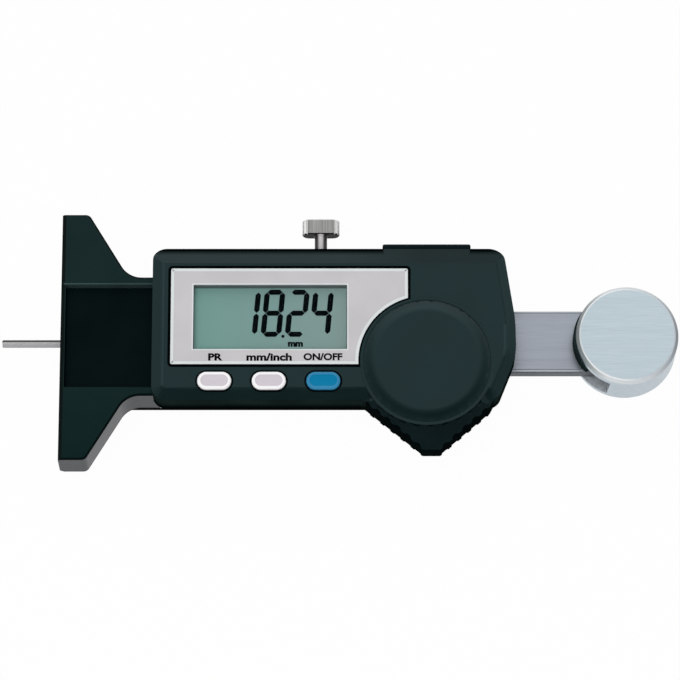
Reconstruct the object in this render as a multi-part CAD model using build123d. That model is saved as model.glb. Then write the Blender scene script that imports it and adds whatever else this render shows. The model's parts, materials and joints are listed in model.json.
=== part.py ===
from build123d import *

import os
from math import atan2, cos, degrees, hypot, radians, sin

# Digital depth caliper, millimetres.
# The gauge lies on its back: +Z is the display side, the rod points along -X and the thumb disc is at +X.
# The origin is on the rod's axis in the plane of the bridge's measuring face.

# Measuring travel, with the rod as far out as it is shown
ROD_OUT = 13.9
TRAVEL_OUT = 11.4
TRAVEL_IN = 13.9

# Clearances
SLIDE_GAP = 0.05
SEAT_GAP = 0.05
FIT_GAP = 0.02
KEY_GAP = 0.1
STOP_GAP = 0.3
HEAD_GAP = 0.15

# Beam, its scale and the rod
BEAM_WIDTH = 15.0
BEAM_THICK = 3.2
SCALE_WIDTH = 12.6
SCALE_THICK = 0.6
SCALE_FROM_END = 12.0
FILM_THICK = 0.1
FILM_BORDER = 0.4
ROD_RADIUS = 0.9
ROD_TIP_CHAMFER = 0.2
ROD_SEAT_DEPTH = 6.0
ROD_SCREW_RADIUS = 0.7
ROD_SCREW_INSETS = (1.6, 4.2)
STOP_SCREW_INSET = 10.0
STOP_HEAD_RADIUS = 1.8
STOP_HEAD_THICK = 1.4
STOP_THREAD_RADIUS = 1.0
STOP_THREAD_DEPTH = 1.6
BEAM_CHAMFER = 0.2
ROD_FREE_GAP = 0.25

# Measuring bridge
BRIDGE_LENGTH = 60.0
WING_TIP_DEPTH = 6.3
WING_ROOT_DEPTH = 15.7
WING_CORNER = 1.6
WING_FILLET = 5.5
BODY_FRONT = 6.2
BODY_BACK = -3.8
STEM_WIDTH = 29.0
STEM_WALL = 2.95
FACE_CHAMFER = 0.9
EDGE_CHAMFER = 0.45
RECESS_SIDE = 2.0
RECESS_DEPTH = 2.2
RECESS_START = 1.1
COVER_PLATE = 0.5
BUSH_RADIUS = 2.0
BUSH_LENGTH = 9.0
CHANNEL_START = 10.8
WINDOW_LENGTH = 7.0
WINDOW_WIDTH = 8.0
WINDOW_INSET = 1.6

# Slide frame, gib and rear cover
CHANNEL_GAP = 0.05
GIB_THICK = 1.5
GIB_BACK_GAP = 0.12
GIB_INSET = 3.4
GIB_SCREW_RADIUS = 1.0
GIB_SCREW_INSET = 8.5
FLANGE_TOP = 0.4
FRAME_END_INSET = 4.4
FRAME_CUT_LENGTH = 2.5
FRAME_CUT_WIDTH = 4.5
RAIL_END_INSET = 6.9
REAR_COVER_THICK = 2.2
REAR_COVER_START = 12.0
COVER_SCREW_RADIUS = 0.75
COVER_SCREW_HEAD = 1.25
COVER_SCREW_HEAD_THICK = 0.5
COVER_SCREW_LENGTH = 5.0
COVER_SCREW_INSET = 1.8
COVER_SCREW_XS = (17.0, 50.0, 98.0)
BRIDGE_SCREW_RADIUS = 0.8
BRIDGE_SCREW_HEAD = 1.5
BRIDGE_SCREW_HEAD_THICK = 0.7
BRIDGE_SCREW_LENGTH = 5.0
BRIDGE_SCREW_Y = 9.5
BRIDGE_SCREW_INSETS = (2.6, 9.6)

# Housing outline
HOUSING_LEFT = 21.5
HOUSING_RIGHT = 106.2
HOUSING_TOP = 20.8
HOUSING_BOTTOM = -16.5
HOUSING_SPLIT = 2.1
HOUSING_FRONT = 10.3
HOUSING_CORNER = 3.3
GRIP_CORNER = 2.0
HOUSING_WALL = 1.5
FRONT_CHAMFER = 0.4
END_BEVEL_WIDTH = 2.4
END_BEVEL_DROP = 1.1
END_BEVEL_REACH = 7.0
BEVEL_WIDTH = 4.3
BEVEL_DROP = 2.3
BASE_INSET = 0.6
END_LEAN = 3.0
END_KNEE_RISE = 19.5
END_KNEE_INSET = 0.3
END_WAIST_RISE = 11.0
GRIP_SHOULDER_INSET = 6.4
GRIP_SHOULDER_DROP = 1.6
GRIP_TIP_X = 86.3
GRIP_TIP_WIDTH = 4.2
GRIP_TIP_CORNER = 0.9
GRIP_SHOULDER_CORNER = 4.0
BODY_END_INSET = 4.6
BODY_END_CORNER = 3.0
END_WAIST_INSET = 0.2
END_WAIST_CORNER = 12.0
END_KNEE_CORNER = 40.0
END_TOP_CORNER = 4.0
GRIP_DROP = 11.5
GRIP_ROOT_X = 70.2
GRIP_FRONT = 9.7
GRIP_LOW = 7.4
GRIP_SLOPE_REACH = 5.2
TOOTH_PITCH = 2.9
TOOTH_RADIUS = 1.25
TOOTH_DEPTH = 0.5
RIB_DEPTH = 0.35
RIB_LENGTH = 12.0

# Ring boss, battery cover and cell
BOSS_X = 85.3
BOSS_Y = -7.4
RING_RADIUS = 15.5
RING_TOP = 10.4
RING_CHAMFER = 0.08
COVER_RADIUS = 14.7
COVER_TOP_RADIUS = 12.4
COVER_TOP = 11.1
COVER_FLANGE = 1.6
COVER_SLOPE_DROP = 0.75
COVER_SKIRT_RADIUS = 11.45
COVER_SKIRT_WALL = 1.1
COVER_SKIRT_DEPTH = 1.7
COVER_PAD_RADIUS = 4.0
SEAL_PROUD = 0.06
SEAL_RADIUS = 0.42
WELL_WALL = 1.4
WELL_FOOT = 4.4
CELL_RADIUS = 10.0
CELL_THICK = 3.2
CELL_TOP = 8.1
CELL_CAP_RADIUS = 8.9
CELL_CAP_THICK = 0.3
CELL_GAP = 0.4

# Display and bezel
BEZEL_MARGIN_LEFT = 4.35
BEZEL_MARGIN_TOP = 5.65
BEZEL_LENGTH = 55.1
BEZEL_HEIGHT = 23.4
BEZEL_THICK = 0.6
BEZEL_PROUD = 0.05
BEZEL_CORNER = 0.4
BEZEL_ARC_GAP = 0.4
DISPLAY_X = 48.95
DISPLAY_Y = 3.3
DISPLAY_LENGTH = 35.7
DISPLAY_HEIGHT = 15.7
LENS_BORDER = 0.6
LENS_THICK = 0.85
GLASS_BORDER = 1.4
GLASS_THICK = 2.0
GLASS_TOP = 8.1
STRIP_WIDTH = 1.8

# Circuit board and what it carries
BOARD_THICK = 1.2
BOARD_GAP = 1.0
CHIP_RADIUS = 4.0
CHIP_THICK = 1.2
SWITCH_SIZE = 3.2
SWITCH_THICK = 1.6
SWITCH_STUD_RADIUS = 0.8
SWITCH_STUD_HEIGHT = 0.3
CONTACT_THICK = 0.25
CONTACT_WIDTH = 3.0
PORT_CONTACT_COUNT = 4
PORT_CONTACT_WIDTH = 1.2
PORT_CONTACT_LENGTH = 5.0
BOARD_SCREW_XS = (27.0, 67.5)
BOARD_SCREW_Y = -9.3
BOARD_SCREW_LENGTH = 4.0
BOARD_SCREW_RADIUS = 1.0
BOARD_SCREW_HEAD = 1.9
BOARD_SCREW_HEAD_THICK = 0.9

# Keys
KEY_FIRST_X = 36.1
KEY_PITCH = 12.6
KEY_Y = -12.3
KEY_LENGTH = 7.9
KEY_WIDTH = 4.3
KEY_PROUD = 0.6
KEY_CROWN = 0.4
KEY_FLANGE_GROWTH = 1.0
KEY_FLANGE_THICK = 1.0
KEY_STEM_RADIUS = 1.2
KEY_STEM_GAP = 0.65

# Data port on the upper edge
PORT_X = 85.4
PORT_LENGTH = 14.8
PORT_BOTTOM = 3.9
PORT_HEIGHT = 2.8
PORT_COVER_LENGTH = 20.6
PORT_COVER_PROUD = 1.3
PORT_COVER_BOTTOM = 2.7
PORT_COVER_TOP = 7.9
PORT_PLUG_DEPTH = 2.6
PORT_COVER_EDGE = 0.3

# Lock screw, its lug and pad
LOCK_X = 60.65
LOCK_THREAD_RADIUS = 1.45
LOCK_HEAD_WIDTH = 8.8
LOCK_HEAD_DEPTH = 3.6
LOCK_HEAD_THICK = 3.7
LOCK_HEAD_Y = 26.7
LOCK_HEAD_CHAMFER = 0.25
LOCK_COLLAR_RADIUS = 1.75
LOCK_COLLAR_THICK = 0.6
LOCK_PAD_THICK = 1.2
LOCK_PAD_GAP = 0.3
KNURL_ANGLES = (-66.0, -33.0, 0.0, 33.0, 66.0)
KNURL_RADIUS = 0.22
LUG_LENGTH = 9.3
LUG_INSET = 4.0
ARCH_WIDTH = 8.0
ARCH_THICK = 1.4
ARCH_RISE = 1.5
ARCH_CLEARANCE = 0.2
ARCH_FOOT = 0.8
BOARD_LUG_SCREW_INSET = 1.7
BOARD_LUG_SCREW_DROP = 2.0

# Housing screws
HOUSING_SCREW_RADIUS = 0.9
HOUSING_SCREW_HEAD = 1.8
HOUSING_SCREW_HEAD_THICK = 0.9
HOUSING_SCREW_LENGTH = 5.2
HOUSING_SCREW_BOSS = 2.2
HOUSING_SCREW_TOP_INSET = 3.5
HOUSING_SCREW_LEFT_INSET = 5.5
HOUSING_SCREW_RIGHT_INSET = 8.2
GRIP_SCREW_RISE = 4.0

# Thumb disc
DISC_RADIUS = 12.3
DISC_FRONT = 8.0
DISC_LIP = 2.0
DISC_REST_GAP = 1.7
DISC_FRONT_CHAMFER = 1.0
DISC_BACK_CHAMFER = 0.6
SLOT_TOP = 5.2
SLOT_DEPTH = 8.1
DISC_SCREW_RADIUS = 1.25
DISC_SCREW_HEAD = 2.2
DISC_SCREW_HEAD_THICK = 1.1
DISC_SCREW_LENGTH = 4.0
DISC_SCREW_INSET = 3.8
DISC_SCREW_SPREAD = 4.6

# Places worked out from the sizes above
BEAM_TOP = BEAM_THICK / 2
BEAM_BACK = -BEAM_THICK / 2
BEAM_START = CHANNEL_START + STOP_GAP + TRAVEL_OUT
STEM_END = HOUSING_LEFT + HOUSING_WALL
ROOF_BACK = BEAM_TOP + FILM_THICK + 2 * SLIDE_GAP
RECESS_WIDTH = STEM_WIDTH - 2 * RECESS_SIDE
RECESS_FLOOR = BODY_FRONT - RECESS_DEPTH - COVER_PLATE
FRAME_FLOOR = BEAM_BACK - SLIDE_GAP
FRAME_START = CHANNEL_START + SEAT_GAP
FLANGE_START = STEM_END + KEY_GAP
FRAME_END = HOUSING_RIGHT - FRAME_END_INSET
RAIL_END = HOUSING_RIGHT - RAIL_END_INSET
RAIL_OUTER = STEM_WIDTH / 2 - STEM_WALL - SEAT_GAP
CHANNEL_LOW = -BEAM_WIDTH / 2 - CHANNEL_GAP
CHANNEL_HIGH = BEAM_WIDTH / 2 + CHANNEL_GAP
GIB_LOW = BEAM_WIDTH / 2 + CHANNEL_GAP
GIB_HIGH = GIB_LOW + GIB_THICK
GIB_WALL = GIB_HIGH + GIB_BACK_GAP
GIB_START = FLANGE_START + GIB_INSET
GIB_END = RAIL_END - GIB_SCREW_RADIUS
REST_Z = BODY_BACK - REAR_COVER_THICK
HOUSING_LENGTH = HOUSING_RIGHT - HOUSING_LEFT
FRONT_INNER = HOUSING_FRONT - HOUSING_WALL
GRIP_INNER = GRIP_LOW - HOUSING_WALL
BOARD_TOP = HOUSING_SPLIT + BOARD_THICK
BOARD_LEFT = FLANGE_START + BOARD_GAP
BOARD_RIGHT = RAIL_END + SEAT_GAP
BOARD_LOW = HOUSING_BOTTOM + HOUSING_WALL + BOARD_GAP
LUG_TOP = HOUSING_TOP - LUG_INSET
BEZEL_LEFT = HOUSING_LEFT + BEZEL_MARGIN_LEFT
BEZEL_TOP = HOUSING_TOP - BEZEL_MARGIN_TOP
BEZEL_FLOOR = HOUSING_FRONT + BEZEL_PROUD - BEZEL_THICK
COVER_SEAT = COVER_TOP - COVER_FLANGE
RING_BORE = COVER_RADIUS + KEY_GAP
CELL_BOTTOM = CELL_TOP - CELL_THICK
WELL_RADIUS = COVER_SKIRT_RADIUS + KEY_GAP
SKIRT_FOOT = COVER_SEAT - COVER_SKIRT_DEPTH
KEY_FLANGE_TOP = FRONT_INNER - SEAT_GAP
KEY_FLANGE_FOOT = KEY_FLANGE_TOP - KEY_FLANGE_THICK
SWITCH_TOP = BOARD_TOP + SWITCH_THICK + SWITCH_STUD_HEIGHT
DISC_X = HOUSING_RIGHT + TRAVEL_OUT + DISC_REST_GAP + DISC_RADIUS
SLOT_END = DISC_X - DISC_RADIUS + SLOT_DEPTH
BEAM_END = SLOT_END - KEY_GAP
STOP_X = BEAM_START + STOP_SCREW_INSET
ROD_SCREW_XS = tuple(BEAM_START + inset for inset in ROD_SCREW_INSETS)
GIB_SCREW_XS = (GIB_START + GIB_SCREW_INSET, GIB_END - GIB_SCREW_INSET)
DISC_BACK = BEAM_BACK - DISC_LIP
DISC_SCREW_YS = (-DISC_SCREW_SPREAD, DISC_SCREW_SPREAD)
DISC_SCREW_X = SLOT_END - DISC_SCREW_INSET
LOCK_BORE = LOCK_THREAD_RADIUS + SLIDE_GAP
LOCK_PAD_Y = GIB_HIGH + LOCK_PAD_GAP
KEY_XS = tuple(KEY_FIRST_X + KEY_PITCH * i for i in range(3))
HOUSING_SCREWS = (
    (HOUSING_LEFT + HOUSING_SCREW_LEFT_INSET, HOUSING_TOP - HOUSING_SCREW_TOP_INSET),
    (HOUSING_RIGHT - HOUSING_SCREW_RIGHT_INSET, HOUSING_TOP - HOUSING_SCREW_TOP_INSET),
    (GRIP_TIP_X, HOUSING_BOTTOM - GRIP_DROP + GRIP_SCREW_RISE),
)
BOARD_SCREWS = tuple((x, BOARD_SCREW_Y) for x in BOARD_SCREW_XS) + (
    (LOCK_X - LUG_LENGTH / 2 + BOARD_LUG_SCREW_INSET, LUG_TOP - BOARD_LUG_SCREW_DROP),
)
COVER_SCREW_Y = STEM_WIDTH / 2 - COVER_SCREW_INSET
COVER_SCREWS = tuple((x, side * COVER_SCREW_Y) for x in COVER_SCREW_XS for side in (-1, 1))
BRIDGE_SCREWS = tuple(
    (CHANNEL_START + inset, side * BRIDGE_SCREW_Y) for inset in BRIDGE_SCREW_INSETS for side in (-1, 1)
)
CUT_REACH = 5.0


def block(x0, x1, y0, y1, z0, z1):
    """Box between two corners."""
    return Pos((x0 + x1) / 2, (y0 + y1) / 2, (z0 + z1) / 2) * Box(x1 - x0, y1 - y0, z1 - z0)


def post(x, y, z0, z1, radius):
    """Round post along Z."""
    return Pos(x, y, (z0 + z1) / 2) * Cylinder(radius, z1 - z0)


def bar_x(x0, x1, radius):
    """Round bar along X on the rod's axis."""
    return Pos((x0 + x1) / 2, 0, 0) * Rot(0, 90, 0) * Cylinder(radius, x1 - x0)


def bar_y(x, y0, y1, radius):
    """Round bar along Y at mid-beam height."""
    return Pos(x, (y0 + y1) / 2, 0) * Rot(90, 0, 0) * Cylinder(radius, y1 - y0)


def prism(sketch, z0, z1):
    """Upright prism on a sketch."""
    return extrude(Pos(0, 0, z0) * sketch, amount=z1 - z0, dir=(0, 0, 1))


def rounded_face(points, radii):
    """Closed outline with one corner radius for each point."""
    return make_face(FilletPolyline(*points, radius=radii, close=True))


def turned(points, x=0.0, y=0.0):
    """Solid of revolution about Z from radius and height pairs."""
    profile = make_face(Polyline(*[(r, 0, z) for r, z in points], close=True))
    return Pos(x, y, 0) * revolve(profile, axis=Axis.Z)


def countersunk(x, y, head_z, towards, length, radius, head_radius, head_thick):
    """Countersunk screw along Z, its flat head at head_z and its point towards +1 or -1."""
    profile = [
        (0, head_z),
        (head_radius, head_z),
        (radius, head_z + towards * head_thick),
        (radius, head_z + towards * length),
        (0, head_z + towards * length),
    ]
    return turned(profile, x, y)


def merged(shapes):
    """All shapes of one node together."""
    shapes = list(shapes)
    total = shapes[0]
    for shape in shapes[1:]:
        total = total + shape
    return total


def without(body, cutters):
    """Body less each cutter."""
    for cutter in cutters:
        body = body - cutter
    return body


def screw_cut(x, y, head_z, towards, length, radius, head_radius, head_thick):
    """Countersunk hole that a screw of the same sizes seats in."""
    deep = length + SEAT_GAP
    return countersunk(x, y, head_z, towards, deep, radius + FIT_GAP, head_radius + FIT_GAP, head_thick)


def bridge_screw(x, y, cutter=False):
    """Screw from the recess floor into the frame's tongue."""
    make = screw_cut if cutter else countersunk
    sizes = (BRIDGE_SCREW_LENGTH, BRIDGE_SCREW_RADIUS, BRIDGE_SCREW_HEAD, BRIDGE_SCREW_HEAD_THICK)
    return make(x, y, RECESS_FLOOR, -1, *sizes)


def rear_cover_screw(x, y, cutter=False):
    """Screw through the rear cover from the back."""
    make = screw_cut if cutter else countersunk
    sizes = (COVER_SCREW_LENGTH, COVER_SCREW_RADIUS, COVER_SCREW_HEAD, COVER_SCREW_HEAD_THICK)
    return make(x, y, REST_Z, 1, *sizes)


def housing_screw(x, y, cutter=False):
    """Screw through the housing's base plate into a boss of the shell."""
    make = screw_cut if cutter else countersunk
    sizes = (HOUSING_SCREW_LENGTH, HOUSING_SCREW_RADIUS, HOUSING_SCREW_HEAD, HOUSING_SCREW_HEAD_THICK)
    return make(x, y, FLANGE_TOP, 1, *sizes)


def disc_screw(y, cutter=False):
    """Screw through the thumb disc's back lip into the beam."""
    make = screw_cut if cutter else countersunk
    sizes = (DISC_SCREW_LENGTH, DISC_SCREW_RADIUS, DISC_SCREW_HEAD, DISC_SCREW_HEAD_THICK)
    return make(DISC_SCREW_X, y, DISC_BACK, 1, *sizes)


def board_screw(x, y, cutter=False):
    """Flat-headed screw that holds the circuit board down."""
    gap = FIT_GAP if cutter else 0
    shank = post(x, y, BOARD_TOP - BOARD_SCREW_LENGTH - gap, BOARD_TOP, BOARD_SCREW_RADIUS + gap)
    head = post(x, y, BOARD_TOP, BOARD_TOP + BOARD_SCREW_HEAD_THICK, BOARD_SCREW_HEAD)
    return shank if cutter else shank + head


def wing_outline():
    """T outline of the bridge, its measuring face along X = 0."""
    half = BRIDGE_LENGTH / 2
    stem = STEM_WIDTH / 2
    upper = [(0, half), (WING_TIP_DEPTH, half), (WING_ROOT_DEPTH, stem), (STEM_END, stem)]
    lower = [(x, -y) for x, y in reversed(upper)]
    radii = [0, WING_CORNER, WING_FILLET, 0]
    return rounded_face(upper + lower, radii + radii[::-1])


def bridge():
    """T bridge with its front recess, the rod's bore and the pocket for the frame's tongue."""
    body = prism(wing_outline(), BODY_BACK, BODY_FRONT)
    body = chamfer(body.edges().filter_by(Axis.Y).group_by(Axis.X)[0], FACE_CHAMFER)
    rim = body.faces().sort_by(Axis.Z)[-1].edges().sort_by(Axis.X)
    body = chamfer(rim[1:-1], EDGE_CHAMFER)
    far = STEM_END + CUT_REACH
    half_recess = RECESS_WIDTH / 2
    half_pocket = RAIL_OUTER + SEAT_GAP
    half_window = WINDOW_WIDTH / 2
    window_start = CHANNEL_START + WINDOW_INSET
    window_end = window_start + WINDOW_LENGTH
    cutters = [
        block(RECESS_START, far, -half_recess, half_recess, RECESS_FLOOR, BODY_FRONT + CUT_REACH),
        block(CHANNEL_START, far, -half_pocket, half_pocket, BODY_BACK - CUT_REACH, ROOF_BACK),
        block(window_start, window_end, -half_window, half_window, 0, RECESS_FLOOR + CUT_REACH),
        bar_x(-CUT_REACH, BUSH_LENGTH, BUSH_RADIUS + FIT_GAP),
        bar_x(0, CHANNEL_START + CUT_REACH, ROD_RADIUS + ROD_FREE_GAP),
    ]
    cutters += [bridge_screw(x, y, cutter=True) for x, y in BRIDGE_SCREWS]
    cutters += [rear_cover_screw(x, y, cutter=True) for x, y in COVER_SCREWS if x < STEM_END]
    return without(body, cutters)


def channel_cover():
    """Sunk plate that hides the screws and the window in the stem."""
    half = RECESS_WIDTH / 2 - SEAT_GAP
    start, end = RECESS_START + SEAT_GAP, STEM_END - SEAT_GAP
    return block(start, end, -half, half, RECESS_FLOOR, RECESS_FLOOR + COVER_PLATE)


def rod_bush():
    """Guide bush of the rod, flush with the measuring face."""
    bore = bar_x(-CUT_REACH, BUSH_LENGTH + CUT_REACH, ROD_RADIUS + SLIDE_GAP)
    return bar_x(0, BUSH_LENGTH, BUSH_RADIUS) - bore


def frame_corner(side, z0, z1):
    """Cutter of the corner that the frame and the rear cover lack at the housing's slanted end."""
    outer = side * STEM_WIDTH / 2
    corners = [
        (FRAME_END - FRAME_CUT_LENGTH, outer, z0),
        (FRAME_END, outer - side * FRAME_CUT_WIDTH, z0),
        (FRAME_END, outer, z0),
    ]
    return extrude(make_face(Polyline(*corners, close=True)), amount=z1 - z0, dir=(0, 0, 1))


def slide_frame():
    """Channel that the beam runs in: tongue, flange, two rails and the lock screw's lug."""
    half_stem = STEM_WIDTH / 2
    tongue = block(FRAME_START, FLANGE_START, -RAIL_OUTER, RAIL_OUTER, BODY_BACK, ROOF_BACK - SEAT_GAP)
    flange = block(FLANGE_START, FRAME_END, -half_stem, half_stem, BODY_BACK, FLANGE_TOP)
    rails = block(FLANGE_START, RAIL_END, -RAIL_OUTER, RAIL_OUTER, BODY_BACK, HOUSING_SPLIT)
    lug = block(LOCK_X - LUG_LENGTH / 2, LOCK_X + LUG_LENGTH / 2, 0, LUG_TOP, BODY_BACK, HOUSING_SPLIT)
    slot_half = STOP_HEAD_RADIUS + HEAD_GAP
    slot_start = STOP_X - TRAVEL_OUT - slot_half
    slot_end = STOP_X + TRAVEL_IN + slot_half
    above = HOUSING_SPLIT + CUT_REACH
    cutters = [
        block(0, FRAME_END + CUT_REACH, CHANNEL_LOW, CHANNEL_HIGH, FRAME_FLOOR, above),
        block(GIB_START - SEAT_GAP, GIB_END + SEAT_GAP, 0, GIB_WALL, FRAME_FLOOR, above),
        block(slot_start, slot_end, -slot_half, slot_half, BODY_BACK - CUT_REACH, above),
        bar_y(LOCK_X, 0, LUG_TOP + CUT_REACH, LOCK_BORE),
    ]
    cutters += [bar_y(x, 0, RAIL_OUTER + CUT_REACH, GIB_SCREW_RADIUS + FIT_GAP) for x in GIB_SCREW_XS]
    cutters += [bridge_screw(x, y, cutter=True) for x, y in BRIDGE_SCREWS]
    cutters += [rear_cover_screw(x, y, cutter=True) for x, y in COVER_SCREWS if x > STEM_END]
    cutters += [board_screw(x, y, cutter=True) for x, y in BOARD_SCREWS]
    cutters += [frame_corner(side, BODY_BACK, FLANGE_TOP) for side in (-1, 1)]
    return without(tongue + flange + rails + lug, cutters)


def gib_strip():
    """Brass gib beside the beam's upper edge."""
    return block(GIB_START, GIB_END, GIB_LOW, GIB_HIGH, FRAME_FLOOR + SEAT_GAP, BEAM_TOP)


def gib_screws():
    """Set screws behind the gib."""
    return merged(bar_y(x, GIB_HIGH, RAIL_OUTER, GIB_SCREW_RADIUS) for x in GIB_SCREW_XS)


def rear_cover():
    """Back plate over the frame and the stem."""
    half = STEM_WIDTH / 2
    plate = block(REAR_COVER_START, FRAME_END, -half, half, REST_Z, BODY_BACK)
    plate = without(plate, [frame_corner(side, REST_Z, BODY_BACK) for side in (-1, 1)])
    plate = chamfer(plate.faces().sort_by(Axis.Z)[0].edges(), EDGE_CHAMFER)
    return without(plate, [rear_cover_screw(x, y, cutter=True) for x, y in COVER_SCREWS])


def housing_outline():
    """Outline of the whole housing with the thumb grip's wedge."""
    grip_bottom = HOUSING_BOTTOM - GRIP_DROP
    half_tip = GRIP_TIP_WIDTH / 2
    corners = [
        (HOUSING_LEFT, HOUSING_BOTTOM, HOUSING_CORNER),
        (GRIP_ROOT_X, HOUSING_BOTTOM, GRIP_CORNER),
        (GRIP_TIP_X - half_tip, grip_bottom, GRIP_TIP_CORNER),
        (GRIP_TIP_X + half_tip, grip_bottom, GRIP_TIP_CORNER),
        (HOUSING_RIGHT - GRIP_SHOULDER_INSET, HOUSING_BOTTOM - GRIP_SHOULDER_DROP, GRIP_SHOULDER_CORNER),
    ] + end_corners()
    return rounded_face([(x, y) for x, y, _ in corners], [r for _, _, r in corners])


def end_corners():
    """Corners of the housing's right end and top, shared by both outlines."""
    return [
        (HOUSING_RIGHT - END_WAIST_INSET, HOUSING_BOTTOM + END_WAIST_RISE, END_WAIST_CORNER),
        (HOUSING_RIGHT - END_KNEE_INSET, HOUSING_BOTTOM + END_KNEE_RISE, END_KNEE_CORNER),
        (HOUSING_RIGHT - END_LEAN, HOUSING_TOP, END_TOP_CORNER),
        (HOUSING_LEFT, HOUSING_TOP, HOUSING_CORNER),
    ]


def body_outline():
    """Outline of the housing's raised part, without the grip's wedge."""
    corners = [
        (HOUSING_LEFT, HOUSING_BOTTOM, HOUSING_CORNER),
        (HOUSING_RIGHT - BODY_END_INSET, HOUSING_BOTTOM, BODY_END_CORNER),
    ] + end_corners()
    return rounded_face([(x, y) for x, y, _ in corners], [r for _, _, r in corners])


def top_bevel(sunk):
    """Wedge outside the long bevel on the upper edge, moved in by a wall's thickness."""
    slope = BEVEL_DROP / BEVEL_WIDTH
    drop = sunk * hypot(1, slope)
    low_y = HOUSING_TOP + CUT_REACH
    low_z = HOUSING_FRONT - BEVEL_DROP - drop - slope * CUT_REACH
    high_y = HOUSING_TOP - BEVEL_WIDTH - CUT_REACH
    high_z = HOUSING_FRONT - drop + slope * CUT_REACH
    start = HOUSING_LEFT - CUT_REACH
    corners = [(start, low_y, low_z), (start, low_y, high_z), (start, high_y, high_z)]
    profile = make_face(Polyline(*corners, close=True))
    return extrude(profile, amount=HOUSING_LENGTH + 2 * CUT_REACH, dir=(1, 0, 0))


def flank_points(start, end):
    """Middles of the teeth along a flank, with the flank's direction in degrees."""
    length = hypot(end[0] - start[0], end[1] - start[1])
    count = round(length / TOOTH_PITCH)
    heading = degrees(atan2(end[1] - start[1], end[0] - start[0]))
    for i in range(count):
        share = (i + 0.5) / count
        yield start[0] + share * (end[0] - start[0]), start[1] + share * (end[1] - start[1]), heading


def grip_teeth():
    """Cutters of the teeth on the grip's two flanks and of the ribs that run in from them."""
    bottom = HOUSING_BOTTOM - GRIP_DROP
    half_tip = GRIP_TIP_WIDTH / 2
    shoulder = (HOUSING_RIGHT - GRIP_SHOULDER_INSET, HOUSING_BOTTOM - GRIP_SHOULDER_DROP)
    flanks = [
        ((GRIP_ROOT_X, HOUSING_BOTTOM), (GRIP_TIP_X - half_tip, bottom)),
        ((GRIP_TIP_X + half_tip, bottom), shoulder),
    ]
    height = HOUSING_FRONT - HOUSING_SPLIT
    out = TOOTH_RADIUS - TOOTH_DEPTH
    for start, end in flanks:
        for x, y, heading in flank_points(start, end):
            away = radians(heading - 90)
            centre = (x + out * cos(away), y + out * sin(away))
            yield Pos(*centre, HOUSING_SPLIT + height / 2) * Cylinder(TOOTH_RADIUS, height + CUT_REACH)
            rib = Rot(0, 90, 0) * Cylinder(TOOTH_RADIUS, RIB_LENGTH)
            yield Pos(*centre, GRIP_FRONT + TOOTH_RADIUS - RIB_DEPTH) * Rot(0, 0, heading - 90) * rib


def bezel_outline(gap):
    """Outline of the bezel, its lower right corner cut back round the ring boss."""
    x0, x1 = BEZEL_LEFT - gap, BEZEL_LEFT + BEZEL_LENGTH + gap
    y0, y1 = BEZEL_TOP - BEZEL_HEIGHT - gap, BEZEL_TOP + gap
    panel = Pos((x0 + x1) / 2, (y0 + y1) / 2) * RectangleRounded(x1 - x0, y1 - y0, BEZEL_CORNER)
    return panel - Pos(BOSS_X, BOSS_Y) * Circle(RING_RADIUS + BEZEL_ARC_GAP - gap)


def window(border, z0, z1):
    """Block over the display's window with a border all round."""
    half_x = DISPLAY_LENGTH / 2 + border
    half_y = DISPLAY_HEIGHT / 2 + border
    return block(DISPLAY_X - half_x, DISPLAY_X + half_x, DISPLAY_Y - half_y, DISPLAY_Y + half_y, z0, z1)


def port_opening(gap, y0, y1):
    """Block in the mouth of the data port."""
    half = PORT_LENGTH / 2 - gap
    return block(PORT_X - half, PORT_X + half, y0, y1, PORT_BOTTOM + gap, PORT_BOTTOM + PORT_HEIGHT - gap)


def housing_cavity():
    """Space inside the front shell."""
    inner = prism(offset(housing_outline(), -HOUSING_WALL), HOUSING_SPLIT, GRIP_INNER)
    inner += prism(offset(body_outline(), -HOUSING_WALL), HOUSING_SPLIT, FRONT_INNER)
    return inner - top_bevel(HOUSING_WALL)


def battery_well():
    """Ring boss on the front and the well below it, before they are bored."""
    ring = [
        (0, WELL_FOOT),
        (WELL_RADIUS + WELL_WALL, WELL_FOOT),
        (WELL_RADIUS + WELL_WALL, GRIP_INNER),
        (RING_RADIUS, GRIP_INNER),
        (RING_RADIUS, RING_TOP - RING_CHAMFER),
        (RING_RADIUS - RING_CHAMFER, RING_TOP),
        (RING_BORE + RING_CHAMFER, RING_TOP),
        (RING_BORE, RING_TOP - RING_CHAMFER),
        (0, RING_TOP - RING_CHAMFER),
    ]
    return turned(ring, BOSS_X, BOSS_Y)


def battery_bore():
    """Stepped bore for the battery cover and the cell, open to both sides."""
    cell_bore = CELL_RADIUS + CELL_GAP
    steps = [
        (0, WELL_FOOT - CUT_REACH),
        (cell_bore, WELL_FOOT - CUT_REACH),
        (cell_bore, SKIRT_FOOT - KEY_GAP),
        (WELL_RADIUS, SKIRT_FOOT - KEY_GAP),
        (WELL_RADIUS, COVER_SEAT),
        (RING_BORE, COVER_SEAT),
        (RING_BORE, RING_TOP + CUT_REACH),
        (0, RING_TOP + CUT_REACH),
    ]
    return turned(steps, BOSS_X, BOSS_Y)


def stem_notch():
    """Cutter that lets the housing's left wall down over the stem and into its recess."""
    half = STEM_WIDTH / 2 + SEAT_GAP
    half_tongue = RECESS_WIDTH / 2 - KEY_GAP
    far = HOUSING_LEFT + HOUSING_WALL
    below = HOUSING_SPLIT - CUT_REACH
    notch = block(HOUSING_LEFT - CUT_REACH, far, -half, half, below, BODY_FRONT + SEAT_GAP)
    plate_top = RECESS_FLOOR + COVER_PLATE + SEAT_GAP
    return notch - block(HOUSING_LEFT, far, -half_tongue, half_tongue, plate_top, BODY_FRONT + CUT_REACH)


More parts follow.
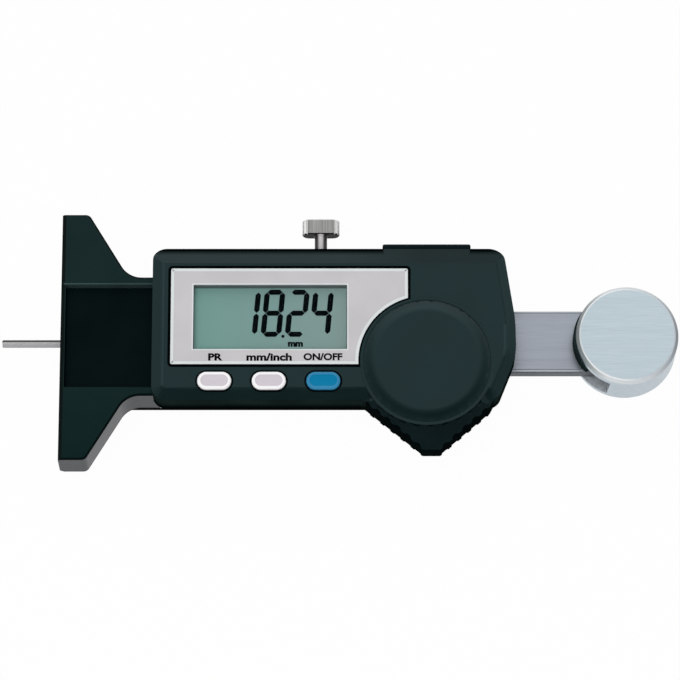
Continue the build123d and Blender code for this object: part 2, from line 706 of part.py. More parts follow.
def grip_wedge():
    """Thumb grip under the ring boss, its front falling away from the ring."""
    far = RING_RADIUS + GRIP_SLOPE_REACH
    reach = HOUSING_LENGTH
    slope = (GRIP_FRONT - GRIP_LOW) / GRIP_SLOPE_REACH
    section = [
        (RING_RADIUS, GRIP_FRONT),
        (far + reach, GRIP_LOW - slope * reach),
        (far + reach, GRIP_FRONT + CUT_REACH),
        (RING_RADIUS, GRIP_FRONT + CUT_REACH),
    ]
    return prism(housing_outline(), HOUSING_SPLIT, GRIP_FRONT) - turned(section, BOSS_X, BOSS_Y)


def raised_body():
    """Raised part of the housing, its front edge chamfered and more so round the right end."""
    end_x = HOUSING_RIGHT - END_BEVEL_REACH
    body = prism(body_outline(), HOUSING_SPLIT, HOUSING_FRONT)
    front = body.faces().sort_by(Axis.Z)[-1]
    end = [edge for edge in front.edges() if edge.center().X > end_x]
    body = chamfer(end, END_BEVEL_WIDTH, END_BEVEL_DROP, reference=front)
    front = body.faces().sort_by(Axis.Z)[-1]
    return chamfer([edge for edge in front.edges() if edge.center().X < end_x], FRONT_CHAMFER)


def housing_shell():
    """Moulded front shell: raised body, grip wedge, ring boss, window, key holes and port."""
    shell = without(grip_wedge() + raised_body() - top_bevel(0), grip_teeth())
    shell = shell - housing_cavity()
    shell = shell + battery_well()
    shell = merged([shell] + [shell_boss(x, y) for x, y in HOUSING_SCREWS])
    cutters = [
        battery_bore(),
        prism(bezel_outline(SEAT_GAP), BEZEL_FLOOR, HOUSING_FRONT + CUT_REACH),
        window(LENS_BORDER + SEAT_GAP, GLASS_TOP, HOUSING_FRONT),
        port_opening(0, HOUSING_TOP - HOUSING_WALL - CUT_REACH / 2, HOUSING_TOP + CUT_REACH),
        stem_notch(),
    ]
    keyhole = SlotOverall(KEY_LENGTH + 2 * KEY_GAP, KEY_WIDTH + 2 * KEY_GAP)
    low, high = FRONT_INNER - KEY_GAP, HOUSING_FRONT + KEY_GAP
    cutters += [prism(Pos(x, KEY_Y) * keyhole, low, high) for x in KEY_XS]
    cutters += [housing_screw(x, y, cutter=True) for x, y in HOUSING_SCREWS]
    return without(shell, cutters)


def shell_boss(x, y):
    """Screw boss from the split line up to the shell's lower roof."""
    return post(x, y, HOUSING_SPLIT, GRIP_INNER + SEAT_GAP, HOUSING_SCREW_BOSS)


def housing_base():
    """Base plate beside the frame, with arches over the beam's exit and the lock screw."""
    plate = prism(offset(housing_outline(), -BASE_INSET), FLANGE_TOP, HOUSING_SPLIT)
    side = RAIL_OUTER + SEAT_GAP
    stem_side = STEM_WIDTH / 2 + SEAT_GAP
    lug_half = LUG_LENGTH / 2 + SEAT_GAP
    below, above = FLANGE_TOP - CUT_REACH, HOUSING_SPLIT + CUT_REACH
    plate -= block(FLANGE_START - CUT_REACH, HOUSING_RIGHT + CUT_REACH, -side, side, below, above)
    plate -= block(HOUSING_LEFT - CUT_REACH, FLANGE_START, -stem_side, stem_side, below, above)
    plate -= block(LOCK_X - lug_half, LOCK_X + lug_half, 0, LUG_TOP + SEAT_GAP, below, above)
    exit_start = RAIL_END + ARCH_CLEARANCE
    exit_floor = BEAM_TOP + FILM_THICK + HEAD_GAP
    top = HOUSING_SPLIT + ARCH_RISE
    span = side + ARCH_FOOT
    plate += block(exit_start, exit_start + ARCH_THICK, -span, span, exit_floor, top)
    lock_y = LUG_TOP + HEAD_GAP
    x0, x1 = LOCK_X - ARCH_WIDTH / 2, LOCK_X + ARCH_WIDTH / 2
    plate += block(x0, x1, lock_y, lock_y + ARCH_THICK, FLANGE_TOP, top)
    cutters = [bar_y(LOCK_X, 0, HOUSING_TOP + CUT_REACH, LOCK_THREAD_RADIUS + HEAD_GAP)]
    cutters += [housing_screw(x, y, cutter=True) for x, y in HOUSING_SCREWS]
    return without(plate, cutters)


def bezel_panel():
    """Silver panel round the display."""
    return prism(bezel_outline(0), BEZEL_FLOOR, HOUSING_FRONT + BEZEL_PROUD) - window(0, GLASS_TOP, RING_TOP)


def display_lens():
    """Clear window behind the bezel."""
    return window(LENS_BORDER, BEZEL_FLOOR - LENS_THICK, BEZEL_FLOOR)


def display_glass():
    """Liquid-crystal glass."""
    return window(GLASS_BORDER, GLASS_TOP - GLASS_THICK, GLASS_TOP)


def contact_strips():
    """Rubber contact strips between the display glass and the board."""
    half = DISPLAY_LENGTH / 2
    reach = DISPLAY_HEIGHT / 2 + GLASS_BORDER - STRIP_WIDTH / 2
    foot = BOARD_TOP
    head = GLASS_TOP - GLASS_THICK
    centres = (DISPLAY_Y - reach, DISPLAY_Y + reach)
    side = STRIP_WIDTH / 2
    return merged(block(DISPLAY_X - half, DISPLAY_X + half, y - side, y + side, foot, head) for y in centres)


def circuit_board():
    """Board on the rails, its sensor side towards the scale."""
    board = block(BOARD_LEFT, BOARD_RIGHT, BOARD_LOW, LUG_TOP, HOUSING_SPLIT, BOARD_TOP)
    reach = HOUSING_SCREW_BOSS + KEY_GAP
    notches = [post(x, y, BOARD_TOP - CUT_REACH, BOARD_TOP + CUT_REACH, reach) for x, y in HOUSING_SCREWS]
    return without(board, notches + [board_screw(x, y, cutter=True) for x, y in BOARD_SCREWS])


def driver_chip():
    """Encapsulated chip under the display."""
    blob = post(DISPLAY_X, DISPLAY_Y, BOARD_TOP, BOARD_TOP + CHIP_THICK, CHIP_RADIUS)
    return chamfer(blob.edges().group_by(Axis.Z)[-1], CHIP_THICK / 2)


def board_screws():
    """Screws through the board into the rail and the lug."""
    return merged(board_screw(x, y) for x, y in BOARD_SCREWS)


def button_switches():
    """Three dome switches on the board."""
    half = SWITCH_SIZE / 2
    can_top = BOARD_TOP + SWITCH_THICK
    low, high = KEY_Y - half, KEY_Y + half
    cans = [block(x - half, x + half, low, high, BOARD_TOP, can_top) for x in KEY_XS]
    studs = [post(x, KEY_Y, can_top, SWITCH_TOP, SWITCH_STUD_RADIUS) for x in KEY_XS]
    return merged(cans + studs)


def coin_cell():
    """Coin cell, positive side up."""
    can = post(BOSS_X, BOSS_Y, CELL_BOTTOM + CELL_CAP_THICK, CELL_TOP, CELL_RADIUS)
    cap = post(BOSS_X, BOSS_Y, CELL_BOTTOM, CELL_BOTTOM + CELL_CAP_THICK, CELL_CAP_RADIUS)
    return chamfer(can.edges().group_by(Axis.Z)[-1], CELL_CAP_THICK) + cap


def cell_contact_minus():
    """Folded leaf spring between the board and the cell."""
    half = CONTACT_WIDTH / 2
    y0, y1 = BOSS_Y - half, BOSS_Y + half
    start, end = BOSS_X - CONTACT_WIDTH, BOSS_X + CONTACT_WIDTH
    foot = block(start, end, y0, y1, BOARD_TOP, BOARD_TOP + CONTACT_THICK)
    fold = block(start, start + CONTACT_THICK, y0, y1, BOARD_TOP, CELL_BOTTOM)
    leaf = block(start, BOSS_X + half, y0, y1, CELL_BOTTOM - CONTACT_THICK, CELL_BOTTOM)
    return foot + fold + leaf


def cell_contact_plus():
    """Tab beside the cell's rim, with its foot on the board."""
    x0, x1 = BOSS_X - CONTACT_WIDTH / 2, BOSS_X + CONTACT_WIDTH / 2
    inner = BOSS_Y + CELL_RADIUS + FIT_GAP
    tab = block(x0, x1, inner, inner + CONTACT_THICK, BOARD_TOP, CELL_TOP - CELL_CAP_THICK)
    foot = block(x0, x1, inner, inner + CONTACT_WIDTH, BOARD_TOP, BOARD_TOP + CONTACT_THICK)
    return tab + foot


def port_contacts():
    """Row of spring contacts behind the data port."""
    pitch = PORT_LENGTH / (PORT_CONTACT_COUNT + 1)
    front = HOUSING_TOP - PORT_PLUG_DEPTH - STOP_GAP
    half = PORT_CONTACT_WIDTH / 2
    xs = [PORT_X - PORT_LENGTH / 2 + pitch * (i + 1) for i in range(PORT_CONTACT_COUNT)]
    top = PORT_BOTTOM + PORT_CONTACT_WIDTH / 2
    return merged(block(x - half, x + half, front - PORT_CONTACT_LENGTH, front, BOARD_TOP, top) for x in xs)


def beam():
    """Flat beam with the scale's groove, the rod's bore and the threaded holes."""
    body = block(BEAM_START, BEAM_END, -BEAM_WIDTH / 2, BEAM_WIDTH / 2, BEAM_BACK, BEAM_TOP)
    body = chamfer(body.edges().filter_by(Axis.X), BEAM_CHAMFER)
    half = SCALE_WIDTH / 2 + FIT_GAP
    groove_start = BEAM_START + SCALE_FROM_END - FIT_GAP
    thread_top = BEAM_BACK + STOP_THREAD_DEPTH + SEAT_GAP
    cutters = [
        block(groove_start, BEAM_END + CUT_REACH, -half, half, BEAM_TOP - SCALE_THICK, BEAM_TOP + CUT_REACH),
        bar_x(BEAM_START - CUT_REACH, BEAM_START + ROD_SEAT_DEPTH + FIT_GAP, ROD_RADIUS + FIT_GAP),
        post(STOP_X, 0, BEAM_BACK - CUT_REACH, thread_top, STOP_THREAD_RADIUS + FIT_GAP),
    ]
    cutters += [post(x, 0, 0, BEAM_TOP + CUT_REACH, ROD_SCREW_RADIUS + FIT_GAP) for x in ROD_SCREW_XS]
    cutters += [disc_screw(y, cutter=True) for y in DISC_SCREW_YS]
    return without(body, cutters)


def scale_strip():
    """Printed scale strip in the beam's groove."""
    half = SCALE_WIDTH / 2
    return block(BEAM_START + SCALE_FROM_END, BEAM_END, -half, half, BEAM_TOP - SCALE_THICK, BEAM_TOP)


def scale_film():
    """Cover film over the scale strip."""
    half = SCALE_WIDTH / 2 + FILM_BORDER
    start = BEAM_START + SCALE_FROM_END - FILM_BORDER
    return block(start, BEAM_END, -half, half, BEAM_TOP, BEAM_TOP + FILM_THICK)


def measuring_rod():
    """Depth rod from its flat tip to its seat in the beam."""
    rod = bar_x(-ROD_OUT, BEAM_START + ROD_SEAT_DEPTH, ROD_RADIUS)
    return chamfer(rod.edges().group_by(Axis.X)[0], ROD_TIP_CHAMFER)


def rod_set_screws():
    """Set screws that hold the rod in the beam's end."""
    return merged(post(x, 0, ROD_RADIUS, BEAM_TOP - FIT_GAP, ROD_SCREW_RADIUS) for x in ROD_SCREW_XS)


def stop_screw():
    """End stop that runs in the frame's slot."""
    head = post(STOP_X, 0, BEAM_BACK - STOP_HEAD_THICK, BEAM_BACK, STOP_HEAD_RADIUS)
    return head + post(STOP_X, 0, BEAM_BACK, BEAM_BACK + STOP_THREAD_DEPTH, STOP_THREAD_RADIUS)


def thumb_disc():
    """Round thumb piece, slotted for the beam's end."""
    rim = [
        (0, DISC_BACK),
        (DISC_RADIUS - DISC_BACK_CHAMFER, DISC_BACK),
        (DISC_RADIUS, DISC_BACK + DISC_BACK_CHAMFER),
        (DISC_RADIUS, DISC_FRONT - DISC_FRONT_CHAMFER),
        (DISC_RADIUS - DISC_FRONT_CHAMFER, DISC_FRONT),
        (0, DISC_FRONT),
    ]
    far = DISC_RADIUS + CUT_REACH
    slot = block(DISC_X - far, SLOT_END, -far, far, BEAM_BACK, SLOT_TOP)
    return without(turned(rim, DISC_X), [slot] + [disc_screw(y, cutter=True) for y in DISC_SCREW_YS])


def disc_screws():
    """Screws from the disc's back lip into the beam."""
    return merged(disc_screw(y) for y in DISC_SCREW_YS)


def lock_pad():
    """Brass pad between the lock screw and the gib."""
    return bar_y(LOCK_X, LOCK_PAD_Y, LOCK_PAD_Y + LOCK_PAD_THICK, LOCK_THREAD_RADIUS)


def lock_screw():
    """Lock screw with its flat thumb head, the head's round ends grooved, and its collar."""
    head_end = LOCK_HEAD_Y + LOCK_HEAD_THICK
    section = extrude(SlotOverall(LOCK_HEAD_WIDTH, LOCK_HEAD_DEPTH), LOCK_HEAD_THICK)
    head = Pos(LOCK_X, head_end, 0) * Rot(90, 0, 0) * section
    ends = head.faces().sort_by(Axis.Y)
    head = chamfer(ends[0].edges() + ends[-1].edges(), LOCK_HEAD_CHAMFER)
    half_gap = (LOCK_HEAD_WIDTH - LOCK_HEAD_DEPTH) / 2
    groove = bar_y(LOCK_X, LOCK_HEAD_Y - CUT_REACH, head_end + CUT_REACH, KNURL_RADIUS)
    for side in (-1, 1):
        for angle in KNURL_ANGLES:
            turn = radians(angle)
            across = side * (half_gap + LOCK_HEAD_DEPTH / 2 * cos(turn))
            head -= Pos(across, 0, LOCK_HEAD_DEPTH / 2 * sin(turn)) * groove
    shank = bar_y(LOCK_X, LOCK_PAD_Y + LOCK_PAD_THICK + SLIDE_GAP, LOCK_HEAD_Y, LOCK_THREAD_RADIUS)
    collar = Rot(90, 0, 0) * Cone(LOCK_COLLAR_RADIUS, LOCK_THREAD_RADIUS, LOCK_COLLAR_THICK)
    return head + shank + Pos(LOCK_X, LOCK_HEAD_Y - LOCK_COLLAR_THICK / 2, 0) * collar


def key(x):
    """One key: crowned cap, flange under the shell's wall and a stem over its switch."""
    cap = prism(SlotOverall(KEY_LENGTH, KEY_WIDTH), KEY_FLANGE_TOP, HOUSING_FRONT + KEY_PROUD)
    cap = fillet(cap.faces().sort_by(Axis.Z)[-1].edges(), KEY_CROWN)
    flange_length = KEY_LENGTH + 2 * KEY_FLANGE_GROWTH
    flange = prism(SlotOverall(flange_length, KEY_WIDTH), KEY_FLANGE_FOOT, KEY_FLANGE_TOP)
    stem = post(0, 0, SWITCH_TOP + KEY_STEM_GAP, KEY_FLANGE_FOOT, KEY_STEM_RADIUS)
    return Pos(x, KEY_Y, 0) * (cap + flange + stem)


def battery_cover():
    """Round cover with its sealing skirt and the pad that holds the cell down."""
    skirt_inner = COVER_SKIRT_RADIUS - COVER_SKIRT_WALL
    section = [
        (0, COVER_TOP),
        (COVER_TOP_RADIUS, COVER_TOP),
        (COVER_RADIUS, COVER_TOP - COVER_SLOPE_DROP),
        (COVER_RADIUS, COVER_SEAT + FIT_GAP),
        (COVER_SKIRT_RADIUS, COVER_SEAT + FIT_GAP),
        (COVER_SKIRT_RADIUS, SKIRT_FOOT),
        (skirt_inner, SKIRT_FOOT),
        (skirt_inner, COVER_SEAT + FIT_GAP),
        (COVER_PAD_RADIUS, COVER_SEAT + FIT_GAP),
        (COVER_PAD_RADIUS, CELL_TOP + FIT_GAP),
        (0, CELL_TOP + FIT_GAP),
    ]
    return turned(section, BOSS_X, BOSS_Y) - seal_ring(SEAL_RADIUS + FIT_GAP)


def seal_ring(radius):
    """Ring round the battery cover's skirt."""
    height = (SKIRT_FOOT + COVER_SEAT) / 2
    return Pos(BOSS_X, BOSS_Y, height) * Torus(COVER_SKIRT_RADIUS + SEAL_PROUD - SEAL_RADIUS, radius)


def port_cover():
    """Cover of the data port, with its plug."""
    half = PORT_COVER_LENGTH / 2
    low, high = HOUSING_TOP + SEAT_GAP, HOUSING_TOP + PORT_COVER_PROUD
    plate = block(PORT_X - half, PORT_X + half, low, high, PORT_COVER_BOTTOM, PORT_COVER_TOP)
    plate = chamfer(plate.faces().sort_by(Axis.Y)[-1].edges(), PORT_COVER_EDGE)
    return plate + port_opening(KEY_GAP, HOUSING_TOP - PORT_PLUG_DEPTH, low)


PARTS = {
    "bridge": bridge,
    "channel_cover": channel_cover,
    "rod_bush": rod_bush,
    "bridge_screws": lambda: merged(bridge_screw(x, y) for x, y in BRIDGE_SCREWS),
    "slide_frame": slide_frame,
    "gib_strip": gib_strip,
    "gib_screws": gib_screws,
    "rear_cover": rear_cover,
    "rear_cover_screws": lambda: merged(rear_cover_screw(x, y) for x, y in COVER_SCREWS),
    "housing_shell": housing_shell,
    "housing_base": housing_base,
    "housing_screws": lambda: merged(housing_screw(x, y) for x, y in HOUSING_SCREWS),
    "bezel_panel": bezel_panel,
    "display_lens": display_lens,
    "display_glass": display_glass,
    "contact_strips": contact_strips,
    "circuit_board": circuit_board,
    "driver_chip": driver_chip,
    "board_screws": board_screws,
    "button_switches": button_switches,
    "coin_cell": coin_cell,
    "cell_contact_minus": cell_contact_minus,
    "cell_contact_plus": cell_contact_plus,
    "port_contacts": port_contacts,
    "beam": beam,
    "scale_strip": scale_strip,
    "scale_film": scale_film,
    "measuring_rod": measuring_rod,
    "rod_set_screws": rod_set_screws,
    "stop_screw": stop_screw,
    "thumb_disc": thumb_disc,
    "disc_screws": disc_screws,
    "lock_pad": lock_pad,
    "lock_screw": lock_screw,
    "button_origin": lambda: key(KEY_XS[0]),
    "button_unit": lambda: key(KEY_XS[1]),
    "button_power": lambda: key(KEY_XS[2]),
    "battery_cover": battery_cover,
    "battery_seal": lambda: seal_ring(SEAL_RADIUS),
    "port_cover": port_cover,
}

os.makedirs("parts", exist_ok=True)
for name, make in PARTS.items():
    export_step(make(), f"parts/{name}.step")
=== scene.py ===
"""Digital depth caliper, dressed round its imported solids.

Metres. The gauge lies on its back: +Z is the display side, the rod points along -X.
"""

import json
import logging
import math
from dataclasses import dataclass
from enum import Enum

import bmesh
import bpy
from mathutils import Matrix, Vector

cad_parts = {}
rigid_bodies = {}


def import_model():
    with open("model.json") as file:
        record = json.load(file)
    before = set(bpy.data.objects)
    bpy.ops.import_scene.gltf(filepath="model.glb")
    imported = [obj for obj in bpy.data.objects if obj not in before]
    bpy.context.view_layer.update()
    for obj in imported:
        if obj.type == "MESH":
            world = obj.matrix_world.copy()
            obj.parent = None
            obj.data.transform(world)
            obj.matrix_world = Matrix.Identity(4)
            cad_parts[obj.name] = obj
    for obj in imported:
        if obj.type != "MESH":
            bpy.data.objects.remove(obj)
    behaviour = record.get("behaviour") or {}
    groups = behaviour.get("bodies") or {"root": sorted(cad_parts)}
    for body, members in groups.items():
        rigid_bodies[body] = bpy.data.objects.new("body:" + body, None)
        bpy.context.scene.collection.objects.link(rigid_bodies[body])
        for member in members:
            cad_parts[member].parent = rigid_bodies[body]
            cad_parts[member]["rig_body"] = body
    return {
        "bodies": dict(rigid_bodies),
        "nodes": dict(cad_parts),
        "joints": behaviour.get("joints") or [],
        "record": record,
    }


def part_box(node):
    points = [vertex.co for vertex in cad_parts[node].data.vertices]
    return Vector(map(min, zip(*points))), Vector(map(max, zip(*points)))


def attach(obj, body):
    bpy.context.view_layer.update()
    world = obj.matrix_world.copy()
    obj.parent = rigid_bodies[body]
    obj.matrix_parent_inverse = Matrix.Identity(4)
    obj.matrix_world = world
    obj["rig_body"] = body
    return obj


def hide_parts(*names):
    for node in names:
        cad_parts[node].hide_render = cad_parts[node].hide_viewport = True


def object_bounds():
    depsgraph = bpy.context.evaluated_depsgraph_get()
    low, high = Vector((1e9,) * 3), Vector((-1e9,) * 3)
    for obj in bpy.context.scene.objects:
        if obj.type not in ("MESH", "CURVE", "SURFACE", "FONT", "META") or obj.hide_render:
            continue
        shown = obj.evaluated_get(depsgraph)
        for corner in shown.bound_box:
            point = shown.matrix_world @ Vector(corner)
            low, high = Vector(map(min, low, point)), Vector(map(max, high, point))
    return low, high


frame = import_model()
CAD_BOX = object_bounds()

MM = 0.001
WELD = 1e-6
FLAT = math.radians(1.0)
log = logging.getLogger("depth_caliper")

Colour = tuple[float, float, float]
Screen = tuple[int, int, int]
Stop = tuple[float, float, float, float]
Point = tuple[float, float, float]
Span = tuple[float, float]
Loop = list[Vector]
Inputs = dict[str | int, object]
Socket = bpy.types.NodeSocket
Node = bpy.types.Node
Material = bpy.types.Material
Mesh = bpy.types.Mesh
Shape = bmesh.types.BMesh
Edges = frozenset[bmesh.types.BMEdge]


def linear(screen: Screen) -> Colour:
    """Turn a screen colour, each part from 0 to 255, into the linear one that shaders take."""
    shares = (channel / 255.0 for channel in screen)
    return tuple(s / 12.92 if s <= 0.04045 else ((s + 0.055) / 1.055) ** 2.4 for s in shares)


class Lay(Enum):
    """Way that the marks of grinding or brushing run, as how far they are drawn out."""

    EVEN = (1.0, 1.0, 1.0)
    ALONG_X = (45.0, 1.0, 1.0)
    ALONG_Y = (1.0, 45.0, 1.0)


class NodeTree:
    """A node tree, written in short steps."""

    def __init__(self, tree: bpy.types.NodeTree) -> None:
        """Keep the tree."""
        self.tree = tree

    def fill(self, node: Node, inputs: Inputs) -> Node:
        """Link or write a node's sockets.

        Args:
            node: The node.
            inputs: What feeds it or stands on it, by socket name or number.

        Returns:
            The node.
        """
        for label, value in inputs.items():
            if isinstance(value, Socket):
                self.tree.links.new(value, node.inputs[label])
            else:
                node.inputs[label].default_value = value
        return node

    def node(self, kind: str, inputs: Inputs | None = None, **settings: object) -> Node:
        """Add a node.

        Args:
            kind: Its type.
            inputs: What feeds it or stands on it, by socket name or number.
            settings: Its own properties.

        Returns:
            The node.
        """
        node = self.tree.nodes.new(kind)
        for label, value in settings.items():
            setattr(node, label, value)
        return self.fill(node, inputs or {})

    def out(self, kind: str, inputs: Inputs | None = None, **settings: object) -> Socket:
        """Add a node and return its first output."""
        return self.node(kind, inputs, **settings).outputs[0]

    def math(self, operation: str, *values: float | Socket) -> Socket:
        """Add a sum of numbers or sockets."""
        return self.out("ShaderNodeMath", dict(enumerate(values)), operation=operation)

    def ramp(self, source: Socket, stops: list[Stop]) -> Socket:
        """Turn a value into a colour.

        Args:
            source: The value.
            stops: Values, each with the three parts of the linear colour that stands there.

        Returns:
            The colour.
        """
        node = self.node("ShaderNodeValToRGB", {"Fac": source})
        elements = node.color_ramp.elements
        while len(elements) < len(stops):
            elements.new(0.5)
        for element, (place, *colour) in zip(elements, stops):
            element.position = place
            element.color = (*colour, 1.0)
        return node.outputs["Color"]


class ShaderTree(NodeTree):
    """Node tree of one material, round its principled shader."""

    def __init__(self, name: str) -> None:
        """Start a material.

        Args:
            name: The material's name.
        """
        self.material = bpy.data.materials.new(name)
        self.material.use_nodes = True
        super().__init__(self.material.node_tree)
        self.surface = self.tree.nodes["Principled BSDF"]
        self.place = self.node("ShaderNodeTexCoord").outputs["Object"]

    def feed(self, inputs: Inputs) -> None:
        """Link or write sockets of the shader itself."""
        self.fill(self.surface, inputs)

    def noise(self, size: float, lay: Lay = Lay.EVEN, detail: float = 2.0) -> Socket:
        """Add noise with features of a real size.

        Args:
            size: Width of a feature in metres.
            lay: Way that the features are drawn out.
            detail: Number of finer layers.

        Returns:
            The noise's value, about 0.3 to 0.7.
        """
        scale = [1.0 / (size * drawn) for drawn in lay.value]
        place = self.out("ShaderNodeMapping", {"Scale": scale, "Vector": self.place})
        return self.out("ShaderNodeTexNoise", {"Scale": 1.0, "Detail": detail, "Vector": place})

    def spread(self, source: Socket, low: float, high: float, start: float = 0.3, end: float = 0.7) -> Socket:
        """Map a value that goes from start to end onto low to high, and keep it between them."""
        inputs = {"Value": source, "From Min": start, "From Max": end, "To Min": low, "To Max": high}
        return self.out("ShaderNodeMapRange", inputs)

    def along(self, axis: int, start: float, end: float, low: float = 0.0, high: float = 1.0) -> Socket:
        """Add a value that goes from low to high between the places start and end on axis 0, 1 or 2."""
        split = self.node("ShaderNodeSeparateXYZ", {"Vector": self.place})
        return self.spread(split.outputs[axis], low, high, start, end)

    def tone(self, source: Socket, *stops: tuple[float, Screen]) -> Socket:
        """Turn a value into one of the screen colours that stand at the stops."""
        return self.ramp(source, [(place, *linear(screen)) for place, screen in stops])

    def skin(self, wide: Socket, roughness: float, swing: float, fine: Socket, depth: float) -> None:
        """Give the surface its roughness and its fine bumps.

        Args:
            wide: Noise that the roughness follows.
            roughness: Its mean.
            swing: How far it goes up and down.
            fine: Noise that the bumps follow.
            depth: Their full height in metres.
        """
        bump = self.out("ShaderNodeBump", {"Strength": 1.0, "Distance": depth, "Height": fine})
        rough = self.spread(wide, roughness - swing, roughness + swing)
        self.feed({"Roughness": rough, "Normal": bump})


@dataclass(frozen=True)
class Moulded:
    """Plastic, rubber, lacquer or ink: a body colour with soft clouds and a fine grain.

    Between the two places of its foot it darkens, colour and shine alike, towards the low end: a
    painted shade, but not on its clear stretch along X, where another moulding covers that side.
    Its shine falls between the two places along X of its fade, a painted shade too.
    """

    light: Screen
    dark: Screen
    roughness: float = 0.45
    specular: float = 0.3
    metallic: float = 0.0
    tint: Colour = (1.0, 1.0, 1.0)
    grain: float = 0.22 * MM
    depth: float = 0.004 * MM
    cloud: float = 9.0 * MM
    foot: tuple[float, ...] = ()
    foot_share: float = 0.3
    foot_axis: int = 2
    clear: tuple[float, ...] = ()
    fade: tuple[float, ...] = ()
    fade_share: float = 0.45
    soft: float = 0.5 * MM
    swing: float = 0.05
    clouds: Span = (0.35, 0.65)

    def shade(self, tree: ShaderTree) -> None:
        """Fill a material.

        Args:
            tree: The material's nodes.
        """
        tint = (*self.tint, 1.0)
        tree.feed({"Metallic": self.metallic, "Specular IOR Level": self.specular, "Specular Tint": tint})
        colour = tree.tone(tree.noise(self.cloud), *zip(self.clouds, (self.dark, self.light)))
        # Painted shade: colour and shine fall towards the foot's low end, and the shine also falls along the
        # fade.
        if self.foot:
            height = tree.along(self.foot_axis, *self.foot, self.foot_share)
            if self.clear:
                start, end = self.clear
                rise = tree.along(0, start, start + self.soft)
                fall = tree.along(0, end - self.soft, end, 1.0, 0.0)
                height = tree.math("MAXIMUM", height, tree.math("MULTIPLY", rise, fall))
            colour = tree.out("ShaderNodeVectorMath", {0: colour, "Scale": height}, operation="SCALE")
            shine = tree.spread(height, 0.0, self.specular, self.foot_share, 1.0)
            if self.fade:
                shine = tree.math("MULTIPLY", shine, tree.along(0, *self.fade, 1.0, self.fade_share))
            tree.feed({"Specular IOR Level": shine})
        tree.feed({"Base Color": colour})
        grain = tree.noise(self.grain, detail=3.0)
        tree.skin(grain, self.roughness, self.swing, grain, self.depth)


@dataclass(frozen=True)
class Metal:
    """Bare metal with the marks of its last machining."""

    light: Screen
    dark: Screen
    roughness: float = 0.3
    lay: Lay = Lay.EVEN
    grain: float = 0.12 * MM
    depth: float = 0.002 * MM
    swing: float = 0.06
    metallic: float = 1.0
    wider: float = 8.0
    streaks: Span = (0.3, 0.7)

    def shade(self, tree: ShaderTree) -> None:
        """Fill a material.

        Args:
            tree: The material's nodes.
        """
        marks = tree.noise(self.grain, self.lay, detail=4.0)
        colour = tree.tone(marks, *zip(self.streaks, (self.dark, self.light)))
        tree.feed({"Metallic": self.metallic, "Base Color": colour})
        wide = tree.noise(self.grain * self.wider, self.lay)
        tree.skin(wide, self.roughness, self.swing, marks, self.depth)


@dataclass(frozen=True)
class Banded:
    """Surface whose colour changes along one axis, such as a display's tint or the painted reflection and
    shade across a rod.
    """

    axis: int
    span: Span
    stops: tuple[tuple[float, Screen], ...]
    roughness: float = 0.5
    specular: float = 0.2
    metallic: float = 0.0
    grain: float = 0.35 * MM
    depth: float = 0.001 * MM
    swing: float = 0.06

    def shade(self, tree: ShaderTree) -> None:
        """Fill a material.

        Args:
            tree: The material's nodes.
        """
        colour = tree.tone(tree.along(self.axis, *self.span), *self.stops)
        tree.feed({"Metallic": self.metallic, "Specular IOR Level": self.specular, "Base Color": colour})
        fine = tree.noise(self.grain)
        tree.skin(fine, self.roughness, self.swing, fine, self.depth)


@dataclass(frozen=True)
class ClearSheet:
    """Clear acrylic, made thin enough for light that the display under it keeps its own colour."""

    tint: Screen
    cover: float
    specular: float = 0.35
    roughness: Span = (0.08, 0.14)
    cloud: float = 6.0 * MM
    grain: float = 2.0 * MM

    def shade(self, tree: ShaderTree) -> None:
        """Fill a material.

        Args:
            tree: The material's nodes.
        """
        colour = tree.tone(tree.noise(self.cloud), (0.3, self.tint), (0.7, self.tint))
        tree.feed({"Specular IOR Level": self.specular, "Alpha": self.cover, "Base Color": colour})
        tree.feed({"Roughness": tree.spread(tree.noise(self.grain), *self.roughness)})


Finish = Moulded | Metal | Banded | ClearSheet

PLASTIC = ((3, 21, 22), (2, 18, 19))
SHEEN = (0.6, 0.94, 1.0)
# Spans of painted shade: over a foot a finish darkens towards the low end, along FADE the bevel's shine
# falls, and over LID the bevel is spared that darkening.
FOOT = (8.35 * MM, 9.05 * MM)
FADE = (66.0 * MM, 84.0 * MM)
LID = (75.0 * MM, 95.8 * MM)
SIDE_FOOT = (3.4 * MM, 6.2 * MM)
ARM_FOOT = (-60.0 * MM, 0.0)
WALL_FOOT = (-3.9 * MM, -2.7 * MM)
GLASS_SPAN = (30.0 * MM, 68.0 * MM)
ROD_SPAN = (-0.9 * MM, 0.9 * MM)
NECK_SPAN = (59.2 * MM, 62.1 * MM)
DISC_SPAN = (119.9 * MM, 144.0 * MM)
GLASS_STOPS = ((0.0, (124, 168, 160)), (0.5, (130, 164, 160)), (1.0, (140, 165, 161)))
# A light band and a dark back across the rod: painted reflection and shade.
ROD_SHADING_STOPS = (
    (0.0, (150, 150, 152)),
    (0.25, (225, 225, 228)),
    (0.52, (205, 204, 206)),
    (0.64, (62, 60, 60)),
    (1.0, (80, 78, 78)),
)
# Dark edges and a bright middle across the screw's neck: painted shade and highlight.
NECK_SHADING_STOPS = (
    (0.0, (28, 28, 28)),
    (0.2, (56, 54, 54)),
    (0.38, (214, 210, 212)),
    (0.6, (216, 213, 215)),
    (0.78, (58, 56, 56)),
    (1.0, (28, 28, 28)),
)
# Across the disc along X: the chamfer's inner band, brightest at the left, is a painted highlight.
CHAMFER_HIGHLIGHT_STOPS = (
    (0.0, (222, 228, 230)),
    (0.12, (250, 252, 254)),
    (0.45, (250, 252, 254)),
    (0.65, (214, 222, 228)),
    (1.0, (206, 213, 220)),
)
# Its outer band, dark at both ends and light between, is painted shade and highlight.
RIM_SHADING_STOPS = (
    (0.0, (132, 140, 140)),
    (0.1, (150, 158, 160)),
    (0.3, (226, 231, 234)),
    (0.7, (218, 224, 228)),
    (0.9, (176, 184, 190)),
    (1.0, (128, 134, 140)),
)

